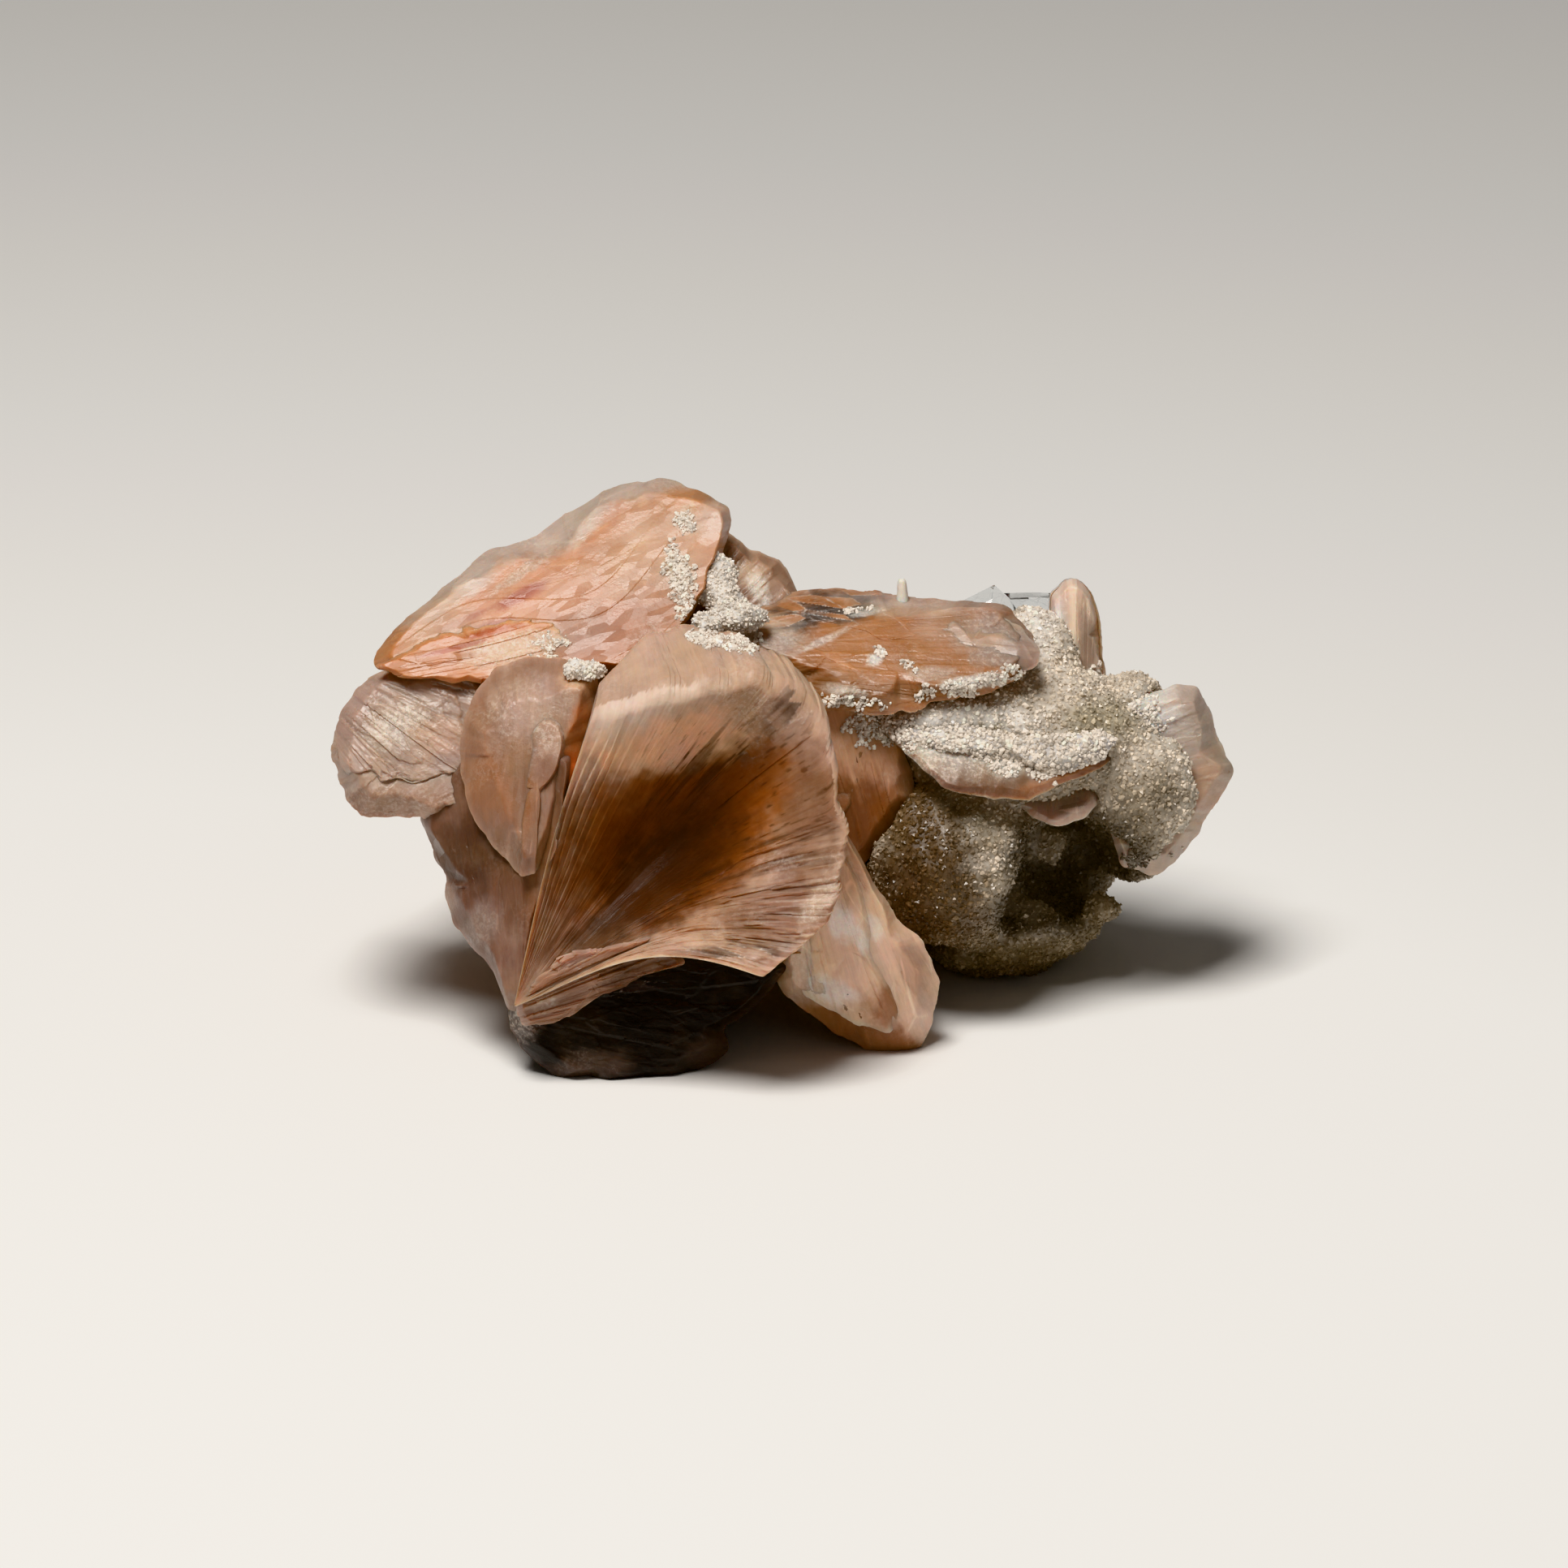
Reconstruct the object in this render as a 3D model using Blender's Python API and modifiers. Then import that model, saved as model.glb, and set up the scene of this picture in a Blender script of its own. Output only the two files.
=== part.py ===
"""Stilbite cluster: peach sheaves of stilbite grown together, with a crust of sugary quartz on one side.

Every crystal is drawn face up, as the specimen is looked at: x runs across, y runs up its facing side and
z comes out of it towards the viewer, all in millimetres. The whole drawing then stands up on its feet.
"""

import math
import random

import bmesh
import bpy
from mathutils import Matrix, Vector

MM = 0.001

# Driving dimensions, in millimetres and degrees
STANDING_TURN_DEG = 70.0  # from lying face up to resting on its feet, leaning back by 20 degrees
FOOT_WEAR = 0.9  # how far the lowest tips are flattened where the specimen rests
GAP = 0.3  # between one mineral and the next
GRAIN_HEIGHT = (0.25, 1.1)  # quartz points on the crust
CRUST_VOXEL = 1.1
CRUST_FACES = 860
PATCH_FACES = 64
SEED = 11

# Colours of the minerals, linear RGB
PEACH = (0.72, 0.43, 0.28)
PALE_PEACH = (0.68, 0.47, 0.37)
QUARTZ_GREY = (0.52, 0.48, 0.40)
QUARTZ_WHITE = (0.74, 0.68, 0.60)
CLEAR = (0.80, 0.84, 0.86)

# A crystal's outline is its widest girdle. level is the girdle's height at the outline's middle, lean its
# slope across and up, rise the front facet's height over the girdle, back its depth behind, and root the
# point that its fibres spread from.
UPPER_SHEAF = dict(
    outline=[(-40.8, 42.6), (-38.9, 45.5), (-34.5, 49.2), (-29.3, 53.5), (-25.8, 54.3), (-21.3, 57.4),
             (-16.8, 60.1), (-11.7, 60.8), (-8.3, 59.4), (-5.5, 57.8), (-5.0, 56.3), (-5.9, 54.2),
             (-7.0, 50.5), (-9.5, 46.5), (-15.5, 42.0), (-23.0, 40.0), (-31.0, 40.4), (-40.4, 41.6)],
    level=-11.0, lean=(0.10, -0.55), rise=3.2, back=11.0, root=(-39.0, 42.6), crown=0.80)
UPPER_LEDGE = dict(
    outline=[(-40.6, 41.9), (-36.0, 44.5), (-29.0, 46.6), (-23.5, 46.8), (-19.5, 44.0), (-21.5, 41.0),
             (-29.0, 40.0), (-38.0, 41.0)],
    level=-5.0, lean=(0.04, -0.45), rise=1.0, back=6.0, root=(-40.0, 42.0), crown=0.86)
REAR_POINT = dict(
    outline=[(-7.0, 56.4), (-3.5, 53.8), (-0.5, 52.8), (0.6, 51.0), (1.7, 48.8), (2.4, 45.0), (-3.0, 43.5),
             (-8.0, 46.0), (-9.0, 52.0)],
    level=-16.0, lean=(-0.1, -0.35), rise=1.8, back=9.0, root=(-8.0, 44.0), crown=0.78)
LEFT_SHEAF = dict(
    outline=[(-40.4, 41.3), (-42.6, 39.4), (-43.6, 38.2), (-44.5, 35.6), (-44.8, 33.4), (-43.9, 30.8),
             (-43.4, 29.0), (-41.7, 27.0), (-36.1, 26.7), (-32.5, 27.0), (-27.0, 29.0), (-24.0, 37.0),
             (-28.0, 42.6), (-35.0, 42.4)],
    level=-7.5, lean=(0.05, -0.30), rise=3.4, back=13.0, root=(-29.0, 40.0), crown=0.78)
LEFT_LEDGE = dict(
    outline=[(-41.5, 39.6), (-43.4, 36.0), (-43.0, 32.6), (-41.0, 30.6), (-36.5, 31.0), (-33.0, 33.0),
             (-31.0, 37.0), (-34.0, 40.6)],
    level=-4.2, lean=(0.10, -0.25), rise=1.2, back=5.0, root=(-30.5, 39.0), crown=0.84)
PETAL = dict(
    outline=[(-30.1, 40.0), (-28.1, 42.0), (-24.9, 43.0), (-21.3, 42.6), (-18.4, 41.6), (-18.3, 38.0),
             (-19.5, 33.2), (-21.0, 28.8), (-22.6, 24.5), (-24.3, 21.2), (-26.2, 21.6), (-28.4, 24.0),
             (-30.8, 27.4), (-32.1, 32.2), (-31.7, 36.8)],
    level=0.2, lean=(0.18, -0.22), rise=2.9, back=10.0, root=(-25.0, 22.5), crown=0.66)
PETAL_LOBE = dict(
    outline=[(-25.8, 36.2), (-23.6, 37.6), (-21.9, 37.0), (-21.3, 35.0), (-22.0, 31.6), (-23.4, 28.4),
             (-24.2, 24.6), (-24.4, 21.4), (-26.0, 21.3), (-26.6, 25.0), (-26.4, 31.0)],
    level=3.2, lean=(0.15, -0.22), rise=1.5, back=4.0, root=(-25.2, 22.0), crown=0.62)
LEFT_WING = dict(
    outline=[(-36.1, 27.0), (-34.9, 24.0), (-33.6, 21.2), (-33.5, 19.6), (-32.7, 17.0), (-30.9, 14.4),
             (-29.0, 12.2), (-27.8, 9.6), (-27.3, 8.2), (-25.6, 7.6), (-24.6, 12.4), (-23.6, 19.0),
             (-21.6, 27.0), (-21.0, 33.0), (-25.0, 36.0), (-33.0, 33.0)],
    level=-1.6, lean=(0.62, -0.06), rise=2.2, back=12.0, root=(-26.8, 9.2), crown=0.80)
LOWER_SHEAF = dict(
    outline=[(-27.2, 8.6), (-26.9, 6.0), (-25.4, 3.6), (-22.1, 1.2), (-19.7, 1.3), (-18.0, 0.2),
             (-16.7, 0.0), (-10.9, 0.8), (-6.9, 2.8), (-5.4, 4.3), (-5.9, 6.0), (-2.6, 8.6), (0.6, 12.6),
             (-4.0, 17.0), (-15.0, 18.0), (-24.0, 14.0)],
    level=-1.2, lean=(-0.10, 0.10), rise=2.2, back=20.0, root=(-26.0, 8.0), crown=0.80)
LOWER_LEDGE = dict(
    outline=[(-26.4, 9.0), (-25.6, 6.4), (-22.4, 6.8), (-18.0, 9.0), (-13.5, 11.6), (-9.6, 12.6),
             (-13.0, 15.4), (-22.0, 13.4)],
    level=3.0, lean=(0.0, 0.30), rise=1.3, back=5.0, root=(-26.0, 8.8), crown=0.82)
STANDING_SHEAF = dict(
    outline=[(5.5, 26.6), (7.3, 23.6), (8.3, 21.6), (9.6, 19.8), (11.4, 16.4), (13.6, 14.9), (14.6, 13.0),
             (15.4, 11.0), (15.0, 7.4), (14.1, 4.8), (12.9, 3.3), (9.8, 3.2), (6.2, 5.0), (2.9, 7.3),
             (-0.1, 9.6), (-1.0, 13.0), (-0.4, 20.0), (2.0, 26.0)],
    level=-4.8, lean=(-0.14, 0.34), rise=3.0, back=9.0, root=(4.6, 25.6), crown=0.74)
STANDING_RIDGE = dict(
    outline=[(5.0, 24.6), (7.2, 21.6), (9.0, 16.6), (10.6, 11.6), (11.6, 7.0), (10.4, 5.4), (5.4, 7.4),
             (1.8, 9.6), (1.4, 14.0), (3.2, 20.0)],
    level=-1.9, lean=(-0.12, 0.32), rise=1.4, back=5.0, root=(4.8, 24.0), crown=0.66)
MIDDLE_BLOCK = dict(
    outline=[(2.0, 39.6), (7.5, 38.4), (10.8, 36.6), (12.1, 33.2), (12.9, 30.6), (13.1, 28.7),
             (11.9, 27.3), (10.4, 25.0), (8.2, 22.6), (5.5, 21.6), (1.0, 24.0), (0.0, 34.0)],
    level=-10.2, lean=(-0.22, 0.06), rise=1.6, back=9.0, root=(2.0, 40.0), crown=0.80)
BOW_SHEAF = dict(
    outline=[(-6.5, 44.4), (-5.7, 46.0), (-2.9, 47.8), (1.5, 49.4), (6.7, 50.0), (9.9, 49.0),
             (17.5, 48.6), (21.6, 48.3), (23.6, 46.6), (25.2, 44.2), (25.4, 42.8), (23.6, 41.0),
             (20.3, 39.4), (14.7, 38.2), (9.1, 37.0), (4.3, 37.6), (-1.0, 41.0)],
    level=-10.4, lean=(0.02, -0.78), rise=2.5, back=9.0, root=(9.0, 44.6), crown=0.78)
BOW_END = dict(
    outline=[(16.5, 46.8), (20.8, 47.4), (23.4, 46.0), (25.6, 43.6), (24.8, 41.8), (21.0, 41.0),
             (15.5, 42.0)],
    level=-8.2, lean=(-0.10, -0.5), rise=1.3, back=5.0, root=(15.0, 44.4), crown=0.7)
HEART = dict(
    outline=[(-30.0, 38.0), (-25.0, 46.0), (-13.0, 50.0), (0.0, 45.0), (11.0, 42.0), (10.0, 30.0),
             (4.0, 20.0), (-3.0, 13.0), (-12.0, 9.0), (-20.0, 9.0), (-26.0, 15.0), (-29.0, 26.0)],
    level=-17.0, lean=(0.0, -0.05), rise=9.0, back=13.0, root=(-10.0, 30.0), crown=0.84)

# Sheaves that fan out behind: where each starts, where it heads, which way its broad face looks, and its
# length, width and thickness. Their outline is in shares of length and width.
REAR_OUTLINE = [(0.0, -0.17), (0.32, -0.28), (0.66, -0.45), (0.88, -0.50), (0.98, -0.38), (1.03, -0.14),
                (1.0, 0.12), (0.94, 0.34), (0.82, 0.50), (0.56, 0.41), (0.28, 0.27), (0.0, 0.17)]
REAR_BLADES = [(-13.0, 4.0, 0.86), (2.0, 3.6, 0.92), (15.0, 4.4, 0.84)]
REAR_SHEAVES = [
    dict(at=(-13.0, 38.0, -20.0), heading=(-0.66, 0.02, -0.75), facing=(-0.15, 0.95, 0.1), size=(25, 25, 12)),
    dict(at=(-9.0, 38.0, -22.0), heading=(0.10, 0.30, -0.92), facing=(0.15, 0.9, 0.3), size=(22, 24, 12)),
    dict(at=(-13.0, 30.0, -18.0), heading=(-0.60, -0.26, -0.72), facing=(-0.62, 0.2, 0.5), size=(27, 22, 13)),
    dict(at=(-4.0, 30.0, -20.0), heading=(0.30, 0.0, -0.95), facing=(0.85, 0.45, 0.1), size=(25, 24, 13)),
    dict(at=(-11.7, 26.7, -18.3), heading=(-0.14, -0.36, -0.92), facing=(-0.30, 0.7, -0.3), size=(28, 21, 13)),
    dict(at=(2.0, 36.0, -18.0), heading=(0.66, 0.12, -0.74), facing=(0.1, 0.95, 0.1), size=(20, 18, 10)),
    dict(at=(-14.0, 22.0, -12.0), heading=(-0.82, -0.10, -0.52), facing=(-0.4, 0.3, 0.85), size=(20, 17, 10)),
]

# The hollow fan: each fibre runs from the root to a point of the front rim, with its own hollow and its
# own bow to the left on the way, and the back skin runs to the rear rim.
FAN_ROOT = (-26.6, 8.4, 4.4)
FAN_BACK_ROOT = (-25.2, 10.0, -3.0)
FAN_FRONT_RIM = [
    (-18.6, 37.6, 6.2), (-15.6, 38.2, 7.4), (-11.8, 38.8, 8.0), (-6.9, 39.8, 8.0), (-2.4, 40.6, 7.4),
    (1.2, 39.6, 6.8), (3.4, 37.0, 6.4), (4.7, 33.6, 6.8), (5.5, 30.4, 7.4), (5.6, 27.6, 7.9),
    (6.5, 26.2, 8.2), (6.4, 22.4, 9.0), (5.9, 19.8, 9.7), (4.4, 16.4, 10.4), (2.0, 14.0, 10.8),
    (-1.4, 11.1, 10.8)]
FAN_REAR_RIM = [
    (-18.2, 40.2, 2.6), (-16.0, 42.6, 1.4), (-13.6, 44.9, 0.0), (-9.9, 46.0, -1.0), (-5.3, 45.0, -0.6),
    (-0.8, 43.6, 0.6), (2.0, 41.5, 1.8), (4.0, 38.0, 2.8), (5.1, 33.6, 3.6), (5.2, 30.0, 4.2),
    (5.4, 27.0, 4.6), (5.4, 23.4, 5.2), (4.9, 21.0, 5.9), (3.4, 18.2, 6.4), (0.9, 16.0, 6.8),
    (-2.4, 13.6, 6.8)]
FAN_HOLLOW = [1.0, 3.4, 5.4, 7.2, 8.4, 8.8, 8.8, 8.4, 7.6, 6.8, 6.0, 4.6, 3.2, 1.8, 0.6, -0.6]
FAN_BOW = [0.6, 0.3, 0.2, 0.4, 0.6, 0.8, 1.0, 1.3, 1.6, 1.9, 2.2, 2.5, 2.8, 3.0, 3.2, 3.4]
FAN_STATIONS = [0.0, 0.12, 0.28, 0.46, 0.64, 0.80, 0.92, 1.0]
FAN_BELLY = 11.0  # how far the back skin bulges behind the straight line

# Blades standing proud of a face, as angle about the root, half width in degrees and share of its reach
BLADES = {
    "upper": [(4.0, 3.0, 0.84), (13.0, 3.6, 0.9), (23.0, 3.0, 0.9), (31.0, 2.4, 0.86), (38.0, 2.2, 0.72)],
    "wing": [(98.0, 3.6, 0.72), (109.0, 3.2, 0.76), (120.0, 3.0, 0.66)],
    "lower": [(-30.0, 4.4, 0.56), (-14.0, 4.0, 0.7), (0.0, 3.6, 0.66)],
    "standing": [(-60.0, 3.0, 0.84), (-74.0, 3.4, 0.8), (-88.0, 3.0, 0.72)],
    "left": [(188.0, 4.0, 0.8), (203.0, 5.0, 0.82), (222.0, 5.0, 0.78)],
    "bow_right": [(-16.0, 4.0, 0.8), (-4.0, 3.4, 0.9), (9.0, 3.2, 0.9)],
    "bow_left": [(172.0, 3.6, 0.8), (186.0, 3.4, 0.84), (199.0, 3.0, 0.8)],
}

# The frosty spur on top: base, tip and radii
SPUR_BASE = (11.8, 48.0, -13.6)
SPUR_TIP = (11.7, 50.7, -13.2)
SPUR_RADII = (0.72, 0.42)
SPUR_SIDES = 8

LEDGE_BLADE = dict(
    outline=[(8.8, 37.6), (10.4, 35.2), (12.3, 33.2), (13.9, 31.6), (15.7, 30.0), (18.6, 29.2),
             (21.4, 28.8), (23.9, 28.7), (26.2, 29.6), (28.6, 30.9), (31.2, 31.8), (32.6, 32.6),
             (32.2, 34.6), (29.8, 36.6), (25.0, 39.0), (19.0, 40.4), (12.5, 40.0)],
    level=-8.2, lean=(-0.22, -0.80), rise=0.9, back=1.3, root=(21.0, 41.0), crown=0.88)
UPRIGHT_BLADE = dict(
    outline=[(26.5, 49.4), (27.6, 50.6), (28.7, 51.0), (30.0, 50.4), (31.2, 48.6), (31.7, 46.6),
             (31.7, 43.4), (32.2, 41.0), (31.6, 38.0), (28.6, 35.6), (26.4, 38.0), (26.2, 44.0)],
    level=-21.0, lean=(0.0, -0.12), rise=2.4, back=4.4, root=(28.8, 36.0), crown=0.42)
RIGHT_SHEAF = dict(
    outline=[(33.6, 38.6), (37.4, 39.8), (39.4, 40.3), (41.3, 40.1), (42.0, 38.6), (42.7, 37.2),
             (42.8, 36.0), (43.7, 33.8), (44.9, 31.8), (44.0, 29.6), (42.6, 27.5), (41.3, 25.2),
             (39.0, 22.4), (36.6, 21.0), (33.6, 22.0), (31.6, 28.0), (31.4, 34.0)],
    level=-18.0, lean=(-0.30, 0.05), rise=2.6, back=10.0, root=(33.0, 31.0), crown=0.76)
CLEAR_POINT = dict(
    outline=[(16.6, 48.0), (19.0, 49.2), (21.0, 50.2), (22.5, 48.9), (24.2, 46.2), (22.5, 44.4),
             (18.0, 44.4)],
    level=-21.5, lean=(0.0, -0.30), rise=1.4, back=3.2, root=(20.6, 47.6), crown=0.5)
CLEAR_BLOCK = dict(
    outline=[(21.6, 49.4), (25.0, 49.5), (27.4, 49.4), (27.6, 45.0), (24.6, 43.4), (21.8, 45.0)],
    level=-25.6, lean=(0.0, -0.12), rise=1.0, back=3.6, root=(24.6, 47.0), crown=0.8)
SHELF_BLADE = dict(
    outline=[(22.8, 28.2), (24.8, 26.9), (27.0, 26.2), (29.6, 26.8), (31.4, 28.6), (30.6, 31.6),
             (26.0, 32.6), (22.6, 31.0)],
    level=-11.4, lean=(-0.1, -0.8), rise=0.7, back=1.2, root=(27.0, 33.0), crown=0.8)

# Lumps of the quartz crust: middle, then half sizes
CRUST_LUMPS = [
    ((17.0, 22.6, -14.0), (8.6, 8.6, 8.8)), ((12.4, 22.0, -13.4), (4.8, 7.6, 6.0)),
    ((23.5, 34.0, -16.6), (13.0, 8.4, 9.4)), ((34.4, 29.6, -18.4), (7.2, 8.4, 8.0)),
    ((24.6, 42.6, -20.4), (5.4, 5.4, 6.4)), ((34.6, 37.0, -20.0), (4.8, 4.2, 6.0)),
    ((25.4, 16.4, -26.0), (6.2, 3.2, 7.4)), ((21.4, 14.8, -28.0), (7.4, 3.6, 8.0)),
    ((22.6, 24.0, -33.0), (11.4, 9.4, 7.0)), ((14.0, 32.0, -28.0), (13.0, 12.0, 12.0)),
    ((19.4, 22.6, -34.0), (12.0, 9.4, 10.0)), ((34.6, 24.6, -24.0), (4.4, 4.0, 8.0)),
    ((21.4, 16.6, -35.0), (5.4, 4.2, 7.4)), ((15.4, 36.4, -8.6), (6.6, 2.7, 2.4)),
    ((26.0, 35.0, -10.4), (5.4, 2.6, 2.6)),
]
CAVERN_HOLLOWS = [
    ((28.6, 21.8, -16.0), (6.9, 5.9, 15.0)), ((23.0, 18.4, -17.0), (4.4, 2.9, 9.0)),
    ((33.6, 20.6, -14.0), (3.6, 3.6, 9.0)),
]
CAVERN_BUDS = [
    ((19.4, 15.4, -19.4), (1.9, 1.9, 1.9)), ((26.8, 24.0, -25.4), (1.3, 2.4, 1.6)),
    ((22.6, 17.8, -24.0), (1.5, 1.7, 1.6)), ((25.2, 17.2, -22.0), (1.6, 1.7, 1.7)),
    ((32.0, 18.0, -21.6), (1.8, 1.9, 2.2)), ((33.9, 41.0, -20.6), (0.9, 0.8, 0.9)),
]
UPPER_PATCH_LUMPS = [
    ((-6.8, 51.4, -9.4), (2.0, 1.6, 1.6)), ((-7.4, 49.6, -8.4), (2.2, 1.4, 1.5)),
    ((-5.6, 48.2, -7.8), (1.7, 1.8, 1.5)), ((-5.0, 46.6, -6.4), (2.0, 1.4, 1.6)),
    ((-7.8, 46.2, -5.0), (1.6, 0.9, 1.2)), ((-2.6, 47.0, -7.6), (1.6, 1.0, 1.2)),
]
PETAL_PATCH_LUMPS = [
    ((-20.4, 41.6, 1.2), (1.6, 0.9, 1.0)), ((-18.8, 41.4, 1.0), (1.2, 0.8, 1.0)),
]


def clear_scene():
    for obj in list(bpy.data.objects):
        bpy.data.objects.remove(obj)


def new_collection(name):
    collection = bpy.data.collections.new(name)
    bpy.context.scene.collection.children.link(collection)
    return collection


def mineral(name, colour, roughness, alpha=1.0):
    material = bpy.data.materials.new(name)
    material.use_nodes = True
    shader = material.node_tree.nodes["Principled BSDF"]
    shader.inputs["Base Color"].default_value = (*colour, 1.0)
    shader.inputs["Roughness"].default_value = roughness
    shader.inputs["Metallic"].default_value = 0.0
    shader.inputs["Alpha"].default_value = alpha
    return material


def add_object(name, bm, collection):
    """A new object from a bmesh drawn in metres, with its faces turned outwards."""
    bmesh.ops.recalc_face_normals(bm, faces=bm.faces)
    mesh = bpy.data.meshes.new(name)
    bm.to_mesh(mesh)
    bm.free()
    obj = bpy.data.objects.new(name, mesh)
    collection.objects.link(obj)
    return obj


def middle_of(outline):
    count = len(outline)
    return sum(p[0] for p in outline) / count, sum(p[1] for p in outline) / count


def facet_height(crystal, x, y):
    """Height of the girdle's plane at x, y."""
    mid_x, mid_y = middle_of(crystal["outline"])
    across, up = crystal["lean"]
    return crystal["level"] + across * (x - mid_x) + up * (y - mid_y)


def bridge(bm, lower, upper):
    """Side faces between two rings that have the same number of corners."""
    count = len(lower)
    for i in range(count):
        j = (i + 1) % count
        bm.faces.new((lower[i], lower[j], upper[j], upper[i]))


def crystal_mesh(crystal, rear_share=0.62):
    """A cut-stone shape: rear facet, girdle, and a crown whose facets spread from near the root."""
    bm = bmesh.new()
    outline = crystal["outline"]
    mid_x, mid_y = middle_of(outline)

    def ring(share, lift):
        corners = []
        for x, y in outline:
            at_x = mid_x + (x - mid_x) * share
            at_y = mid_y + (y - mid_y) * share
            height = facet_height(crystal, at_x, at_y) + lift
            corners.append(bm.verts.new(Vector((at_x, at_y, height)) * MM))
        return corners

    rear = ring(rear_share, -crystal["back"])
    girdle = ring(1.0, 0.0)
    crown = ring(crystal["crown"], crystal["rise"])
    root_x, root_y = crystal["root"]
    crest_pull = 0.45
    crest_x = mid_x + (root_x - mid_x) * crest_pull
    crest_y = mid_y + (root_y - mid_y) * crest_pull
    crest_z = facet_height(crystal, crest_x, crest_y) + crystal["rise"] * 1.12
    crest = bm.verts.new(Vector((crest_x, crest_y, crest_z)) * MM)
    bridge(bm, rear, girdle)
    bridge(bm, girdle, crown)
    for i in range(len(crown)):
        bm.faces.new((crown[i], crown[(i + 1) % len(crown)], crest))
    bm.faces.new(rear)
    return bm


def reach_of(crystal, angle):
    """Distance from the root to the outline in one direction."""
    root_x, root_y = crystal["root"]
    dir_x, dir_y = math.cos(angle), math.sin(angle)
    outline = crystal["outline"]
    best = 0.0
    for (ax, ay), (bx, by) in zip(outline, outline[1:] + outline[:1]):
        side_x, side_y = bx - ax, by - ay
        cross = dir_x * side_y - dir_y * side_x
        if abs(cross) < 1e-9:
            continue
        along = ((ax - root_x) * side_y - (ay - root_y) * side_x) / cross
        on_side = ((ax - root_x) * dir_y - (ay - root_y) * dir_x) / cross
        if along > 0 and 0 <= on_side <= 1:
            best = max(best, along)
    return best


def blade_mesh(crystal, angle_deg, half_width_deg, share):
    """A thin wedge that stands proud of the crown, from near the root towards the rim."""
    bm = bmesh.new()
    start_share = 0.22
    proud, sunk = 0.75, 2.6
    root_x, root_y = crystal["root"]
    reach = reach_of(crystal, math.radians(angle_deg)) * share

    def spot(angle, far, lift):
        x = root_x + math.cos(angle) * far
        y = root_y + math.sin(angle) * far
        return bm.verts.new(Vector((x, y, facet_height(crystal, x, y) + lift)) * MM)

    rings = []
    top = crystal["rise"] + proud
    for far, top_lift in ((reach * start_share, top - proud * 0.9), (reach * 0.6, top), (reach, top - 0.5)):
        left = math.radians(angle_deg - half_width_deg)
        right = math.radians(angle_deg + half_width_deg)
        ridge = math.radians(angle_deg + half_width_deg * 0.35)
        low = crystal["rise"] - sunk
        rings.append([spot(left, far, low), spot(right, far, low),
                      spot(right, far, top_lift - 0.45), spot(ridge, far, top_lift),
                      spot(left, far, top_lift - 0.55)])
    for lower, upper in zip(rings, rings[1:]):
        bridge(bm, lower, upper)
    bm.faces.new(rings[0])
    bm.faces.new(rings[-1])
    return bm


def bump_profile(share):
    """0 at the root and the rim, 1 a little past half way."""
    return math.sin(math.pi * share ** 1.15)


def fan_mesh():
    """The hollow fan: a front skin of fibres and a back skin, closed by the rim, the root and two sides."""
    bm = bmesh.new()
    root, back_root = Vector(FAN_ROOT), Vector(FAN_BACK_ROOT)
    root_spread = 0.05
    front, back = [], []
    for share in FAN_STATIONS:
        front_row, back_row = [], []
        for rim, rear_rim, hollow, bow in zip(FAN_FRONT_RIM, FAN_REAR_RIM, FAN_HOLLOW, FAN_BOW):
            reach = root_spread + (1 - root_spread) * share
            bend = bump_profile(share)
            along = Vector(rim) - root
            sideways = Vector((-along.y, along.x, 0.0)).normalized() * bow * bend
            at = root + along * reach + sideways
            at.z -= hollow * bend
            rear_at = back_root.lerp(Vector(rear_rim), reach) + sideways
            rear_at.z -= FAN_BELLY * bend
            front_row.append(bm.verts.new(at * MM))
            back_row.append(bm.verts.new(rear_at * MM))
        front.append(front_row)
        back.append(back_row)
    loops = [f + b[::-1] for f, b in zip(front, back)]
    for lower, upper in zip(loops, loops[1:]):
        bridge(bm, lower, upper)
    for end in (0, -1):
        for i in range(len(FAN_FRONT_RIM) - 1):
            bm.faces.new((front[end][i], front[end][i + 1], back[end][i + 1], back[end][i]))
    bmesh.ops.triangulate(bm, faces=bm.faces)
    return bm


def rear_crystal(size):
    """A sheaf lying along +X with its broad faces up and down, drawn like the others."""
    length, width, thick = size
    outline = [(along * length, across * width) for along, across in REAR_OUTLINE]
    return dict(outline=outline, level=0.0, lean=(0.0, 0.0), rise=thick * 0.4, back=thick * 0.6,
                root=(0.0, 0.0), crown=0.76)


def placed(at, heading, facing):
    """The frame at a point whose X heads one way and whose Z leans towards facing."""
    x_axis = Vector(heading).normalized()
    z_axis = Vector(facing)
    z_axis = (z_axis - x_axis * z_axis.dot(x_axis)).normalized()
    y_axis = z_axis.cross(x_axis)
    turn = Matrix((x_axis, y_axis, z_axis)).transposed()
    return Vector(at) * MM, turn.to_euler()


def spur_mesh():
    """The small round-ended finger, as a cone between two points."""
    base, tip = Vector(SPUR_BASE), Vector(SPUR_TIP)
    axis = tip - base
    bm = bmesh.new()
    bmesh.ops.create_cone(bm, cap_ends=True, segments=SPUR_SIDES, radius1=SPUR_RADII[0] * MM,
                          radius2=SPUR_RADII[1] * MM, depth=axis.length * MM)
    turn = axis.to_track_quat("Z", "Y").to_matrix().to_4x4()
    bmesh.ops.transform(bm, matrix=Matrix.Translation((base + axis / 2) * MM) @ turn, verts=bm.verts)
    return bm


def lumps_mesh(lumps, detail=3):
    bm = bmesh.new()
    for middle, half in lumps:
        scale = Matrix.Diagonal((*[h * MM for h in half], 1.0))
        matrix = Matrix.Translation(Vector(middle) * MM) @ scale
        bmesh.ops.create_icosphere(bm, subdivisions=detail, radius=1.0, matrix=matrix)
    return bm


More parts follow.
